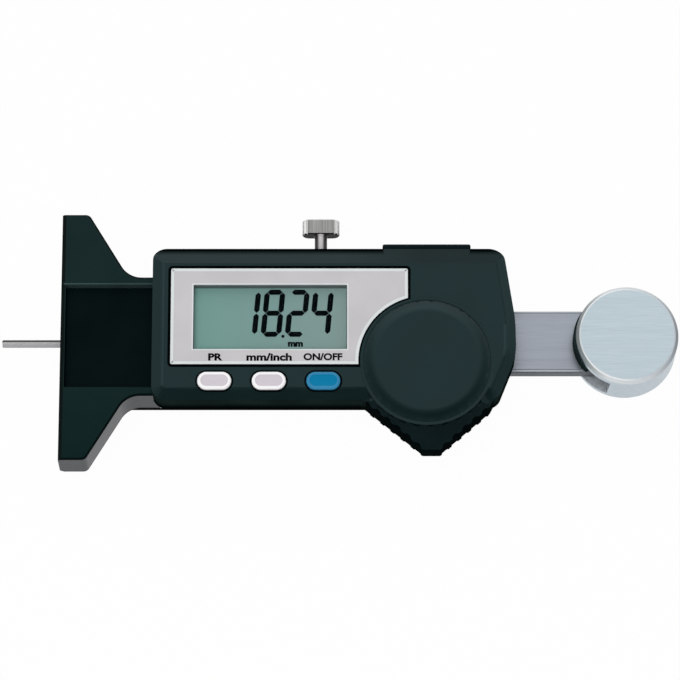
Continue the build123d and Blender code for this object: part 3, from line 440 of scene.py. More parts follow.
# The record's slots come first, then the finishes of single faces and small pieces.
FINISHES: dict[str, Finish] = {
    # Darker towards -Y over ARM_FOOT: painted shade.
    "black_metal": Moulded(
        (5, 34, 34), (2, 31, 31), 0.34, 0.18, depth=0.002 * MM, foot=ARM_FOOT, foot_share=0.6, foot_axis=1
    ),
    "black_plate": Moulded((6, 18, 19), (4, 15, 16), 0.5, 0.03),
    "steel": Metal((190, 192, 196), (150, 152, 158), 0.28),
    "screw_steel": Metal((196, 198, 200), (158, 160, 164), 0.26),
    "screw_black": Moulded((16, 18, 20), (8, 10, 12), 0.3, 0.5),
    "frame_steel": Metal((178, 182, 188), (140, 144, 150), 0.34, Lay.ALONG_X),
    "brass": Metal((214, 176, 104), (180, 140, 74), 0.3, Lay.ALONG_X),
    # Darker where the housing falls away below its front, over FOOT: painted shade.
    "housing_plastic": Moulded(*PLASTIC, 0.33, 0.58, tint=SHEEN, foot=FOOT),
    "bezel_silver": Moulded((206, 203, 206), (199, 197, 199), 0.42, 0.3),
    "clear_window": ClearSheet((10, 14, 14), 0.03),
    "display_green": Banded(0, GLASS_SPAN, GLASS_STOPS),
    "black_rubber": Moulded((14, 16, 17), (8, 9, 10), 0.7, 0.2),
    "board_green": Moulded((22, 92, 52), (14, 70, 40), 0.35, 0.5, cloud=1.2 * MM),
    "chip_black": Moulded((18, 18, 20), (10, 10, 12), 0.25, 0.5),
    "switch_metal": Metal((200, 200, 202), (160, 160, 164), 0.25),
    "cell_steel": Metal((205, 206, 208), (172, 174, 178), 0.22),
    "contact_spring": Metal((206, 190, 150), (176, 160, 120), 0.3),
    "beam_steel": Metal((206, 213, 224), (195, 202, 213), 0.32, Lay.ALONG_X, metallic=0.7),
    "scale_laminate": Moulded((40, 44, 46), (28, 30, 32), 0.5, 0.3),
    "scale_silver": Metal((208, 215, 226), (195, 202, 214), 0.42, Lay.ALONG_X),
    "rod_steel": Banded(1, ROD_SPAN, ROD_SHADING_STOPS, 0.34, 0.5, 0.6),
    "disc_aluminium": Metal((228, 243, 251), (214, 231, 241), 0.36, Lay.ALONG_X, metallic=0.72),
    "knurled_steel": Metal((206, 206, 204), (150, 150, 150), 0.3, Lay.ALONG_Y, 0.3 * MM),
    "key_white": Moulded((255, 254, 255), (251, 250, 252), 0.4, 0.4),
    "key_blue": Moulded((46, 134, 178), (40, 126, 170), 0.4, 0.4),
    # Side faces: a copy of the housing plastic with no shine, darker over SIDE_FOOT: painted shade.
    "plastic_side_shade": Moulded(
        (28, 42, 39), (22, 34, 32), 0.75, 0.0, depth=0.01 * MM, foot=SIDE_FOOT, foot_share=0.15
    ),
    # The top bevel's copy of the plastic: less shine, falling along FADE, and darker at its foot: painted
    # shade.
    "plastic_bevel_shade": Moulded(
        *PLASTIC, 0.35, 0.45, tint=SHEEN, foot=FOOT, clear=LID, fade=FADE, fade_share=0.58
    ),
    "plastic_lid": Moulded((5, 15, 17), (3, 12, 13), 0.45, 0.14, tint=SHEEN),
    # The ends' flanks: a shinier copy of the plastic, painted sheen.
    "plastic_flank_sheen": Moulded(*PLASTIC, 0.33, 0.85, tint=SHEEN, foot=FOOT),
    # A dark crescent on the beam beside the disc: painted shadow.
    "disc_shadow_black": Moulded((34, 46, 46), (20, 30, 30), 0.8, 0.0, depth=0.02 * MM),
    # The grip's sloping front and its teeth: darker copies of the plastic, painted shade.
    "plastic_grip_shade": Moulded((5, 18, 20), (3, 14, 16), 0.45, 0.32, tint=SHEEN),
    "grip_side_shade": Moulded((10, 16, 16), (5, 10, 11), 0.75, 0.0, depth=0.01 * MM),
    "gasket_grey": Moulded((104, 120, 119), (94, 110, 109), 0.6, 0.1),
    # The underside of the screw's head: painted shade.
    "screw_shade": Moulded((30, 30, 30), (20, 20, 20), 0.5, 0.1),
    "neck_steel_shading": Banded(0, NECK_SPAN, NECK_SHADING_STOPS, 0.4, 0.3, 0.2),
    # Rounded edges of the bridge: a near-black copy of its metal, painted shade.
    "metal_edge_shade": Moulded((5, 15, 15), (3, 11, 11), 0.5, 0.03),
    # Walls of the bridge: a finish of their own, darker towards the floor over WALL_FOOT: painted shade.
    "metal_wall": Moulded((16, 27, 36), (11, 22, 31), 0.3, 0.12, tint=(0.94, 0.97, 1.0), foot=WALL_FOOT),
    # Light grey on the recess's upper wall and on a strip along its edge: painted highlight.
    "recess_highlight": Moulded((58, 76, 77), (50, 68, 69), 0.5, 0.1),
    # Bright bands on the display panel: painted highlights.
    "bezel_rim_highlight": Moulded((226, 231, 232), (220, 225, 226), 0.3, 0.4),
    # Dark bands in the gaps round the panel and the keys: painted shade.
    "gap_shade_black": Moulded((5, 9, 10), (3, 6, 7), 0.8, 0.0),
    "print_black": Moulded((20, 18, 20), (14, 13, 15), 0.6, 0.0),
    "segment_ink": Moulded((8, 14, 16), (4, 9, 11), 0.6, 0.0),
    # Darker copies of the keys' colours for their dished middles: painted shade.
    "key_centre": Moulded((216, 208, 216), (210, 203, 211), 0.45, 0.2),
    "key_centre_blue": Moulded((6, 126, 170), (3, 120, 163), 0.45, 0.1),
    # The rounded sides of the screw's head, near white: painted highlight.
    "knurl_side_highlight": Moulded((250, 250, 249), (232, 232, 231), 0.35, 0.5, grain=0.3 * MM),
    # Beam walls and chamfers: a dull grey copy of the steel, painted shade.
    "beam_edge_shade": Moulded((112, 116, 120), (98, 102, 106), 0.5, 0.1, 0.3),
    "beam_line": Moulded((124, 128, 130), (116, 120, 122), 0.5, 0.1, 0.3),
    "disc_wall": Metal((188, 200, 208), (172, 184, 192), 0.34, depth=0.001 * MM),
    "disc_slot": Moulded((178, 184, 190), (140, 146, 152), 0.5, 0.3, cloud=1.4 * MM),
    "disc_chamfer_highlight": Banded(0, DISC_SPAN, CHAMFER_HIGHLIGHT_STOPS, 0.4, 0.3, 0.15),
    "disc_rim_shading": Banded(0, DISC_SPAN, RIM_SHADING_STOPS, 0.4, 0.3, 0.15),
}


class Palette:
    """Materials by name, each made once."""

    def __init__(self) -> None:
        """Make every finish."""
        self.materials: dict[str, Material] = {}
        for name, finish in FINISHES.items():
            tree = ShaderTree(f"finish_{name}")
            finish.shade(tree)
            self.materials[name] = tree.material

    def __getitem__(self, name: str) -> Material:
        """Return the material of a finish."""
        return self.materials[name]


def settled(holder: bpy.types.Object) -> Mesh:
    """Turn an object with its modifiers into a plain mesh and drop the object.

    Args:
        holder: The object, not in the scene yet.

    Returns:
        The mesh.
    """
    bpy.context.scene.collection.objects.link(holder)
    depsgraph = bpy.context.evaluated_depsgraph_get()
    mesh = bpy.data.meshes.new_from_object(holder.evaluated_get(depsgraph))
    bpy.data.objects.remove(holder)
    return mesh


class GeometryTree(NodeTree):
    """Geometry node tree with named sizes, which is grown into a plain mesh."""

    def __init__(self, name: str, *sizes: str) -> None:
        """Start a tree.

        Args:
            name: The tree's name.
            sizes: Names of its number inputs.
        """
        super().__init__(bpy.data.node_groups.new(name, "GeometryNodeTree"))
        face = self.tree.interface
        kinds = {"Geometry": "Geometry", **dict.fromkeys(sizes, "Float"), "Finish": "Material"}
        self.sockets: dict[str, str] = {}
        for label, kind in kinds.items():
            socket = face.new_socket(label, in_out="INPUT", socket_type=f"NodeSocket{kind}")
            self.sockets[label] = socket.identifier
        face.new_socket("Geometry", in_out="OUTPUT", socket_type="NodeSocketGeometry")
        self.size = self.node("NodeGroupInput").outputs

    def vector(self, *parts: float | Socket) -> Socket:
        """Join three values into a vector."""
        return self.out("ShaderNodeCombineXYZ", dict(enumerate(parts)))

    def moved(self, geometry: Socket, way: str, value: Point | Socket) -> Socket:
        """Move or turn a shape."""
        return self.out("GeometryNodeTransform", {"Geometry": geometry, way: value})

    def on_points(self, shape: Socket, turn: Socket) -> Socket:
        """Put a shape on every point of the mesh that goes in.

        Args:
            shape: The shape.
            turn: How far each copy is turned about Z.

        Returns:
            The copies.
        """
        points = self.out("GeometryNodeMeshToPoints", {"Mesh": self.size["Geometry"]})
        euler = self.out("FunctionNodeEulerToRotation", {0: self.vector(0.0, 0.0, turn)})
        placed = {"Points": points, "Instance": shape, "Rotation": euler}
        return self.out("GeometryNodeInstanceOnPoints", placed)

    def end(self, geometry: Socket) -> None:
        """Close the tree with what it makes."""
        real = self.out("GeometryNodeRealizeInstances", {0: geometry})
        dressed = self.out("GeometryNodeSetMaterial", {"Geometry": real, "Material": self.size["Finish"]})
        self.node("NodeGroupOutput", {0: dressed})

    def grow(self, seed: Mesh, sizes: dict[str, float], finish: Material) -> Mesh:
        """Run the tree on a mesh.

        Args:
            seed: Mesh that goes in.
            sizes: Value of each named input.
            finish: Material of the result.

        Returns:
            The result as a plain mesh.
        """
        holder = bpy.data.objects.new("grown", seed)
        modifier = holder.modifiers.new("Grow", "NODES")
        modifier.node_group = self.tree
        for label, value in {**sizes, "Finish": finish}.items():
            modifier[self.sockets[label]] = value
        return settled(holder)


SCREW_SIZES = ("Head Radius", "Head Thick", "Shank Radius", "Recess Width", "Recess Depth", "Length")


def screw_tree() -> GeometryTree:
    """Build the tree that puts a cross-recess countersunk screw on every point.

    Returns:
        The tree. The screws' heads lie in the points' plane and face +Z.
    """
    head_sides, shank_sides, blade_reach, spin_seed = 40, 24, 1.15, 7
    tree = GeometryTree("cross_recess_screws", *SCREW_SIZES)
    head, thick, shank, width, depth, length = (tree.size[name] for name in SCREW_SIZES)
    cone = {"Vertices": head_sides, "Radius Top": head, "Radius Bottom": shank, "Depth": thick}
    cone_mesh = tree.out("GeometryNodeMeshCone", cone)
    sunk = tree.moved(cone_mesh, "Translation", tree.vector(0.0, 0.0, tree.math("MULTIPLY", thick, -1.0)))
    cut = tree.node("GeometryNodeMeshBoolean", {"Mesh 1": sunk}, operation="DIFFERENCE")
    for turn in (0.0, math.pi / 2.0):
        size = tree.vector(tree.math("MULTIPLY", head, blade_reach), width, tree.math("MULTIPLY", depth, 2.0))
        blade = tree.out("GeometryNodeMeshCube", {"Size": size})
        tree.fill(cut, {"Mesh 2": tree.moved(blade, "Rotation", (0.0, 0.0, turn))})
    shank_length = tree.math("SUBTRACT", length, thick)
    rod = {"Vertices": shank_sides, "Radius": shank, "Depth": shank_length}
    rod_mesh = tree.out("GeometryNodeMeshCylinder", rod)
    reach = tree.math("ADD", thick, tree.math("MULTIPLY", shank_length, 0.5))
    low = tree.vector(0.0, 0.0, tree.math("MULTIPLY", reach, -1.0))
    whole = tree.node("GeometryNodeJoinGeometry")
    for part in (cut.outputs["Mesh"], tree.moved(rod_mesh, "Translation", low)):
        tree.fill(whole, {0: part})
    spin = tree.node("FunctionNodeRandomValue", {2: 0.0, 3: math.pi, "Seed": spin_seed}, data_type="FLOAT")
    tree.end(tree.on_points(whole.outputs[0], spin.outputs[1]))
    return tree


def segment_tree() -> GeometryTree:
    """Build the tree that puts a display segment on every point and slants the lot.

    Returns:
        The tree. A point's attribute upright says whether its segment stands.
    """
    corners, tip_share, rows = 6, 0.9, 4.0
    tree = GeometryTree("display_segments", "Length", "Width", "Thick", "Slant", "Base")
    half = tree.math("MULTIPLY", tree.size["Length"], 0.5)
    wide = tree.math("MULTIPLY", tree.size["Width"], 0.5)
    disc = tree.node("GeometryNodeMeshCircle", {"Vertices": corners, "Radius": 1.0}, fill_type="NGON")
    position = tree.out("GeometryNodeInputPosition")
    corner = tree.node("ShaderNodeSeparateXYZ", {0: position}).outputs
    tip = tree.math("GREATER_THAN", tree.math("ABSOLUTE", corner[0]), tip_share)
    reach = tree.math("ADD", tree.math("SUBTRACT", half, wide), tree.math("MULTIPLY", wide, tip))
    across = tree.math("MULTIPLY", tree.math("SIGN", corner[0]), reach)
    side = tree.math("SIGN", tree.math("ROUND", tree.math("MULTIPLY", corner[1], rows)))
    place = tree.vector(across, tree.math("MULTIPLY", side, wide), 0.0)
    flat = tree.out("GeometryNodeSetPosition", {"Geometry": disc.outputs[0], "Position": place})
    solid = {"Mesh": flat, "Offset Scale": tree.size["Thick"], "Individual": False}
    thick = tree.out("GeometryNodeExtrudeMesh", solid)
    upright = tree.node("GeometryNodeInputNamedAttribute", {"Name": "upright"}, data_type="FLOAT")
    placed = tree.on_points(thick, tree.math("MULTIPLY", upright.outputs[0], math.pi / 2.0))
    lot = tree.out("GeometryNodeRealizeInstances", {0: placed})
    height = tree.node("ShaderNodeSeparateXYZ", {0: position}).outputs[1]
    lean = tree.math("MULTIPLY", tree.math("SUBTRACT", height, tree.size["Base"]), tree.size["Slant"])
    slanted = {"Geometry": lot, "Offset": tree.vector(lean, 0.0, 0.0)}
    tree.end(tree.out("GeometryNodeSetPosition", slanted))
    return tree


def mesh_of(name: str, points: list[Point], faces: list[tuple[int, ...]]) -> Mesh:
    """Make a mesh whose faces point outwards.

    Args:
        name: The mesh's name.
        points: Its vertices.
        faces: Its faces as vertex numbers.

    Returns:
        The mesh.
    """
    mesh = bpy.data.meshes.new(name)
    mesh.from_pydata(points, [], faces)
    shape = bmesh.new()
    shape.from_mesh(mesh)
    bmesh.ops.remove_doubles(shape, verts=shape.verts, dist=WELD / 10.0)
    bmesh.ops.recalc_face_normals(shape, faces=shape.faces)
    shape.to_mesh(mesh)
    shape.free()
    return mesh


def loft(name: str, rings: list[list[Point]], closed: bool = False) -> Mesh:
    """Skin rings of equal count.

    Args:
        name: The mesh's name.
        rings: The rings, in order.
        closed: Whether the last ring joins the first, or both ends get a face.

    Returns:
        The mesh.
    """
    count = len(rings[0])
    faces = []
    for row in range(len(rings) - (not closed)):
        first, second = row * count, (row + 1) % len(rings) * count
        for i in range(count):
            j = (i + 1) % count
            faces.append((first + i, first + j, second + j, second + i))
    if not closed:
        faces += [tuple(range(start, start + count)) for start in (0, (len(rings) - 1) * count)]
    return mesh_of(name, [point for ring in rings for point in ring], faces)


def prism(name: str, outline: list[Span], low: float, high: float) -> Mesh:
    """Make an upright solid from a flat outline."""
    return loft(name, [[(x, y, z) for x, y in outline] for z in (low, high)])


def band(name: str, inner: Loop, outer: Loop, low: float, high: float) -> Mesh:
    """Make a flat frame between two loops of equal count and the heights low and high."""
    corners = ((inner, low), (outer, low), (outer, high), (inner, high))
    return loft(name, [[(p.x, p.y, z) for p in loop] for loop, z in corners], closed=True)


def stadium(x: float, y: float, z: float, length: float, radius: float, count: int = 72) -> list[Point]:
    """Return a ring with straight sides and round ends.

    Args:
        x: Its centre along X.
        y: Its centre along Y.
        z: Its height.
        length: Distance between the ends' centres.
        radius: Radius of the ends.
        count: Number of points.

    Returns:
        The ring.
    """
    ring = []
    for i in range(count):
        a = 2.0 * math.pi * (i + 0.5) / count
        shift = math.copysign(length / 2.0, math.cos(a))
        ring.append((x + shift + radius * math.cos(a), y + radius * math.sin(a), z))
    return ring


def offset_loop(loop: Loop, distance: float) -> Loop:
    """Move a flat loop outwards.

    Args:
        loop: Points that go round once.
        distance: How far each side moves, negative for inwards.

    Returns:
        The moved loop.
    """
    least_share = 0.35
    following = [*loop[1:], loop[0]]
    area = sum(here.x * there.y - there.x * here.y for here, there in zip(loop, following))
    sense = 1.0 if area > 0.0 else -1.0
    moved = []
    for i, point in enumerate(loop):
        before = (point - loop[i - 1]).normalized()
        after = (following[i] - point).normalized()
        first = Vector((before.y, -before.x)) * sense
        middle = (first + Vector((after.y, -after.x)) * sense).normalized()
        moved.append(point + middle * (distance / max(middle.dot(first), least_share)))
    return moved


def box_of(points: list[Vector]) -> tuple[Vector, Vector]:
    """Return the lowest and the highest corner of the box round some points."""
    columns = list(zip(*points))
    return Vector([min(column) for column in columns]), Vector([max(column) for column in columns])


def lettering(text: str, centre: Point, size: Point, weight: float = 0.042) -> Mesh:
    """Make words of a given size as a thin solid.

    Args:
        text: The words.
        centre: Middle of their box, at their back.
        size: Their sizes along X, Y and Z.
        weight: How far the strokes' edges are moved out, as a share of the letters' size.

    Returns:
        The mesh.
    """
    curve = bpy.data.curves.new("lettering", "FONT")
    curve.body = text
    curve.extrude = 0.01
    curve.offset = weight
    curve.resolution_u = 4
    mesh = settled(bpy.data.objects.new("lettering", curve))
    low, high = box_of([vertex.co for vertex in mesh.vertices])
    start = (centre[0] - size[0] / 2.0, centre[1] - size[1] / 2.0, centre[2])
    for vertex in mesh.vertices:
        shares = [(vertex.co[i] - low[i]) / (high[i] - low[i]) for i in range(3)]
        vertex.co = [start[i] + shares[i] * size[i] for i in range(3)]
    return mesh


def islands(mesh: Mesh) -> list[tuple[Vector, Vector]]:
    """Find the separate solids of a mesh.

    Args:
        mesh: The mesh.

    Returns:
        Lowest and highest corner of each.
    """
    shape = bmesh.new()
    shape.from_mesh(mesh)
    bmesh.ops.remove_doubles(shape, verts=shape.verts, dist=WELD)
    found: list[tuple[Vector, Vector]] = []
    left = set(shape.verts)
    while left:
        todo = [left.pop()]
        corners = []
        while todo:
            vertex = todo.pop()
            corners.append(vertex.co.copy())
            linked = {edge.other_vert(vertex) for edge in vertex.link_edges} & left
            left -= linked
            todo.extend(linked)
        found.append(box_of(corners))
    shape.free()
    return sorted(found, key=lambda box: tuple(box[0]))


def dress_by_slope(mesh: Mesh, steps: tuple[float, ...]) -> None:
    """Number a mesh's faces by how far they look up or down.

    Args:
        mesh: The mesh, whose faces with number 0 are renumbered.
        steps: Falling shares of Z; a face gets the number of steps that it stays under.
    """
    for face in mesh.polygons:
        if face.material_index == 0:
            face.material_index = sum(abs(face.normal.z) < step for step in steps)


@dataclass(frozen=True)
class Rounding:
    """Small rounding that a copied solid's edges get where they turn by enough degrees."""

    width: float
    segments: int = 2
    least_turn: float = 14.0


class Bench:
    """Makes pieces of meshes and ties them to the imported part."""

    def __init__(self, packed: dict[str, object], palette: Palette) -> None:
        """Keep what the pieces are made with.

        Args:
            packed: The loaded frame.
            palette: The finishes.
        """
        self.nodes = packed["nodes"]
        self.palette = palette
        self.slots = {name: node.data.materials[0].name for name, node in self.nodes.items()}
        self.bodies = {name: node["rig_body"] for name, node in self.nodes.items()}

    def piece(
        self,
        name: str,
        mesh: Mesh,
        body: str,
        finishes: tuple[str, ...],
        slot: str,
        stands_for: tuple[str, ...] = (),
    ) -> None:
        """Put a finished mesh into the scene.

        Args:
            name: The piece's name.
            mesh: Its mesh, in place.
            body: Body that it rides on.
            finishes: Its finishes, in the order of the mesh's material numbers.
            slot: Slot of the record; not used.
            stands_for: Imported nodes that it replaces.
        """
        numbers = [face.material_index for face in mesh.polygons]
        mesh.materials.clear()
        for finish in finishes:
            mesh.materials.append(self.palette[finish])
        mesh.polygons.foreach_set("material_index", numbers)
        made = bpy.data.objects.new(name, mesh)
        bpy.context.scene.collection.objects.link(made)
        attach(made, body)
        if stands_for:
            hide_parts(*stands_for)
        log.info("%s: %d faces on %s", name, len(mesh.polygons), body)

    def stand_in(self, name: str, mesh: Mesh, node: str, *finishes: str) -> None:
        """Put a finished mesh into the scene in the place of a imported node."""
        self.piece(name, mesh, self.bodies[node], finishes, self.slots[node], (node,))

    def solid(self, node: str) -> Shape:
        """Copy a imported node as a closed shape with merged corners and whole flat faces.

        Args:
            node: The node.

        Returns:
            The shape, which the caller frees.
        """
        shape = bmesh.new()
        shape.from_mesh(self.nodes[node].data)
        bmesh.ops.remove_doubles(shape, verts=shape.verts, dist=WELD)
        bmesh.ops.dissolve_limit(shape, angle_limit=FLAT, verts=shape.verts, edges=shape.edges, delimit=set())
        shape.normal_update()
        return shape

    def rounded(self, shape: Shape, name: str, rounding: Rounding, spared: Edges = frozenset()) -> Mesh:
        """Round the edges of a shape and free it.

        Args:
            shape: The shape.
            name: Name of the mesh.
            rounding: Its rounding.
            spared: Edges that stay sharp.

        Returns:
            The mesh.
        """
        least = math.radians(rounding.least_turn)
        edges = [e for e in shape.edges if e.is_manifold and e.calc_face_angle() > least and e not in spared]
        bmesh.ops.bevel(
            shape, geom=edges, offset=rounding.width, segments=rounding.segments, profile=0.5,
            affect="EDGES", clamp_overlap=True, miter_outer="ARC",
        )
        for face in shape.faces:
            face.smooth = True
        mesh = bpy.data.meshes.new(name)
        shape.to_mesh(mesh)
        shape.free()
        holder = bpy.data.objects.new(name, mesh)
        weighted = holder.modifiers.new("Weigh", "WEIGHTED_NORMAL")
        weighted.mode = "FACE_AREA"
        weighted.weight = 80
        return settled(holder)

    def copy(self, name: str, node: str, *sizes: float) -> Mesh:
        """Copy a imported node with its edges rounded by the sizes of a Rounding."""
        return self.rounded(self.solid(node), name, Rounding(*sizes))

    def keep_all(self) -> None:
        """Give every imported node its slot's finish."""
        for name in sorted(self.nodes):
            self.nodes[name].material_slots[0].material = self.palette[self.slots[name]]
            log.info("%s: kept, finish %s", name, self.slots[name])


@dataclass
class Assembly:
    """Sub-assembly that is built on a bench."""

    bench: Bench

    def build(self) -> None:
        """Make the pieces."""
        raise NotImplementedError

    def add(self, name: str, mesh: Mesh, finish: str, slot: str, body: str = "head") -> None:
        """Put a piece of one finish into the scene."""
        self.bench.piece(name, mesh, body, (finish,), slot)


@dataclass
class ScrewSet(Assembly):
    """All countersunk screws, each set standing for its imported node.

    A row holds the node, whether the heads face -Z, and the sizes that SCREW_SIZES names.
    """

    rows: tuple[tuple[str, bool, tuple[float, ...]], ...] = (
        ("rear_cover_screws", True, (1.25 * MM, 0.5 * MM, 0.75 * MM, 0.3 * MM, 0.45 * MM)),
        ("housing_screws", True, (1.8 * MM, 0.9 * MM, 0.9 * MM, 0.42 * MM, 0.7 * MM)),
        ("disc_screws", True, (2.2 * MM, 1.1 * MM, 1.25 * MM, 0.5 * MM, 0.9 * MM)),
        ("bridge_screws", False, (1.5 * MM, 0.7 * MM, 0.8 * MM, 0.36 * MM, 0.55 * MM)),
        ("board_screws", False, (1.9 * MM, 0.9 * MM, 1.0 * MM, 0.42 * MM, 0.7 * MM)),
    )

    def build(self) -> None:
        """Make every set of equal screws."""
        tree = screw_tree()
        for node, faces_back, sizes in self.rows:
            boxes = islands(self.bench.nodes[node].data)
            sense = -1.0 if faces_back else 1.0
            low, high = boxes[0]
            places = [((a.x + b.x) / 2.0, (a.y + b.y) / 2.0 * sense, 0.0) for a, b in boxes]
            named = dict(zip(SCREW_SIZES, (*sizes, high.z - low.z)))
            slot = self.bench.slots[node]
            mesh = tree.grow(mesh_of(node, places, []), named, self.bench.palette[slot])
            turn = Matrix.Rotation(math.pi, 4, "X") if faces_back else Matrix.Identity(4)
            head_z = low.z if faces_back else high.z
            mesh.transform(Matrix.Translation((0.0, 0.0, head_z)) @ turn)
            self.bench.stand_in(f"{node}_cross", mesh, node, slot)


LINE_SUNK = 0.02 * MM
LINE_PROUD = 0.01 * MM


@dataclass
class MeasuringBridge(Assembly):
    """The black measuring bridge with the rod's bush, and the plate sunk in its stem."""

    rounding: float = 0.14 * MM
    plate_rounding: float = 0.12 * MM
    # Where the recess's upper wall takes a painted highlight.
    highlight_low: float = 11.5 * MM
    highlight_high: float = 13.5 * MM
    highlight_foot: float = 3.6 * MM
    highlight_lean: float = -0.4
    line_from: Span = (0.6 * MM, 12.62 * MM)
    line_to: Span = (21.4 * MM, 12.95 * MM)
    slopes: tuple[float, ...] = (0.9, 0.3)

    def build(self) -> None:
        """Make the bridge, with a light line along its recess's upper edge, a painted highlight."""
        finishes = ("black_metal", "metal_edge_shade", "metal_wall", "recess_highlight")
        lip = finishes.index("recess_highlight")
        mesh = self.bench.copy("bridge_body", "bridge", self.rounding)
        for face in mesh.polygons:
            in_highlight = self.highlight_low < face.center.y < self.highlight_high and face.center.z > self.highlight_foot
            face.material_index = lip if in_highlight and face.normal.y < self.highlight_lean else 0
        # Rounded edges take the near-black copy, painted shade; walls take their own finish, darker at its
        # foot.
        dress_by_slope(mesh, self.slopes)
        self.bench.stand_in("bridge_body", mesh, "bridge", *finishes)
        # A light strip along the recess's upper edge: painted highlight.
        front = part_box("bridge")[1].z
        (left, low), (right, high) = self.line_from, self.line_to
        outline = [(left, low), (right, low), (right, high), (left, high)]
        line = prism("highlight_strip", outline, front - LINE_SUNK, front + LINE_PROUD)
        self.add("highlight_strip", line, "recess_highlight", "black_metal")
        plate = self.bench.copy("channel_plate", "channel_cover", self.plate_rounding)
        self.bench.stand_in("channel_plate", plate, "channel_cover", "black_plate")


BOSS = (85.3 * MM, -7.4 * MM)
# Face numbers past FRONT take copies of the plastic that paint shade, or sheen on the flanks.
FRONT, SIDE, BEVEL, GRIP, TEETH, FLANK = range(6)


@dataclass
class Housing(Assembly):
    """The moulded housing, its base, the port's cover, the battery's cover and the back plate."""

    slopes: tuple[float, ...] = (0.65,)
    bevel_foot: float = 15.0 * MM
    bevel_lean: float = 0.2
    bevel_rise: float = 0.6
    bore_reach: float = 14.9 * MM
    bore_front: float = 9.9 * MM
    bore_rim: float = 0.75 * MM
    bore_edge: float = 0.3 * MM
    grip_top: float = -16.8 * MM
    middle: float = 64.0 * MM
    flank_reach: float = 35.0 * MM
    flank_lean: float = 0.2
    lip_steps: int = 128
    lip_reaches: Span = (14.715 * MM, 14.95 * MM)
    lip_heights: Span = (9.7 * MM, 10.29 * MM)
    crown_width: float = 0.55 * MM
    crown_segments: int = 6
    crown_level: float = 0.01 * MM
    others: tuple[str, ...] = ("plastic_side_shade", "plastic_bevel_shade", "plastic_grip_shade", "grip_side_shade", "plastic_flank_sheen")
    rows: tuple[tuple[str, str, str, Rounding], ...] = (
        ("housing_body", "housing_shell", "housing_plastic", Rounding(0.35 * MM, 3)),
        ("housing_floor", "housing_base", "housing_plastic", Rounding(0.12 * MM)),
        ("port_lid", "port_cover", "plastic_lid", Rounding(0.25 * MM, 3)),
        ("battery_lid", "battery_cover", "housing_plastic", Rounding(0.05 * MM, 1, 40.0)),
        ("back_plate", "rear_cover", "black_metal", Rounding(0.2 * MM)),
    )

    def build(self) -> None:
        """Make the housing's mouldings; their sides get a copy of the plastic without shine, darker at its
        foot: painted shade.
        """
        for name, node, front, rounding in self.rows:
            shape = self.bench.solid(node)
            if node == "battery_cover":
                self.soften_crown(shape)
            mesh = self.bench.rounded(shape, name, rounding, self.bore_edges(shape))
            self.dress(mesh)
            if node == "housing_shell":
                self.dress_grip(mesh)
            self.bench.stand_in(name, mesh, node, front, *self.others)
        self.bore_lip()

    def dress(self, mesh: Mesh) -> None:
        """Number the faces: front, side, and the bevel along the top, whose shine is painted to fade towards
        the port.

        Args:
            mesh: The mesh. The narrow faces at the rim of the cover's bore stay with the front.
        """
        dress_by_slope(mesh, self.slopes)
        centre = Vector(BOSS)
        for face in mesh.polygons:
            place, way = face.center, face.normal
            off_bore = abs((place.xy - centre).length - self.bore_reach)
            if place.z > self.bore_front and off_bore < self.bore_rim:
                face.material_index = FRONT
            if way.y > self.bevel_lean and way.z > self.bevel_rise and place.y > self.bevel_foot:
                face.material_index = BEVEL

    def dress_grip(self, mesh: Mesh) -> None:
        """Give the grip's front and teeth darker copies of the plastic, and the flanks a shinier one: painted
        shade and sheen.

        Args:
            mesh: The housing's mesh.
        """
        for face in mesh.polygons:
            if face.center.y < self.grip_top:
                if face.material_index == SIDE:
                    face.material_index = TEETH
                elif face.center.z < self.bore_front:
                    face.material_index = GRIP
            elif face.material_index == FRONT and abs(face.normal.x) > self.flank_lean:
                if abs(face.center.x - self.middle) > self.flank_reach:
                    face.material_index = FLANK

    def bore_lip(self) -> None:
        """Make the thin lip that closes the gap round the battery's cover."""
        turns = [2.0 * math.pi * i / self.lip_steps for i in range(self.lip_steps)]
        ways = [Vector((math.cos(turn), math.sin(turn))) for turn in turns]
        inner, outer = ([Vector(BOSS) + way * reach for way in ways] for reach in self.lip_reaches)
        lip = band("bore_lip", inner, outer, *self.lip_heights)
        self.add("bore_lip", lip, "housing_plastic", "housing_plastic")

    def bore_edges(self, shape: Shape) -> Edges:
        """Find the edges of the battery cover's bore, which stay sharp so that no line shows there.

        Args:
            shape: The housing's shape.

        Returns:
            The edges.
        """
        centre = Vector(BOSS)
        near = {v for v in shape.verts if abs((v.co.xy - centre).length - self.bore_reach) < self.bore_edge}
        return frozenset(edge for edge in shape.edges if near.issuperset(edge.verts))

    def soften_crown(self, shape: Shape) -> None:
        """Round the edge between the battery cover's flat top and its flank.

        Args:
            shape: The cover's shape, which is changed.
        """
        high = max(v.co.z for v in shape.verts) - self.crown_level
        edges = [edge for edge in shape.edges if min(v.co.z for v in edge.verts) > high]
        sizes = {"offset": self.crown_width, "segments": self.crown_segments, "profile": 0.5}
        bmesh.ops.bevel(shape, geom=edges, affect="EDGES", **sizes)


class Stroke(Enum):
    """Segments of a seven-segment digit: place in half digits, and whether they stand."""

    TOP = (0.0, 2.0, 0.0)
    MIDDLE = (0.0, 1.0, 0.0)
    BOTTOM = (0.0, 0.0, 0.0)
    UPPER_LEFT = (-1.0, 1.5, 1.0)
    UPPER_RIGHT = (1.0, 1.5, 1.0)
    LOWER_LEFT = (-1.0, 0.5, 1.0)
    LOWER_RIGHT = (1.0, 0.5, 1.0)


DIGITS: dict[str, tuple[Stroke, ...]] = {
    "1": (Stroke.UPPER_RIGHT, Stroke.LOWER_RIGHT),
    "8": tuple(Stroke),
    "2": (Stroke.TOP, Stroke.UPPER_RIGHT, Stroke.MIDDLE, Stroke.LOWER_LEFT, Stroke.BOTTOM),
    "4": (Stroke.UPPER_LEFT, Stroke.UPPER_RIGHT, Stroke.MIDDLE, Stroke.LOWER_RIGHT),
}


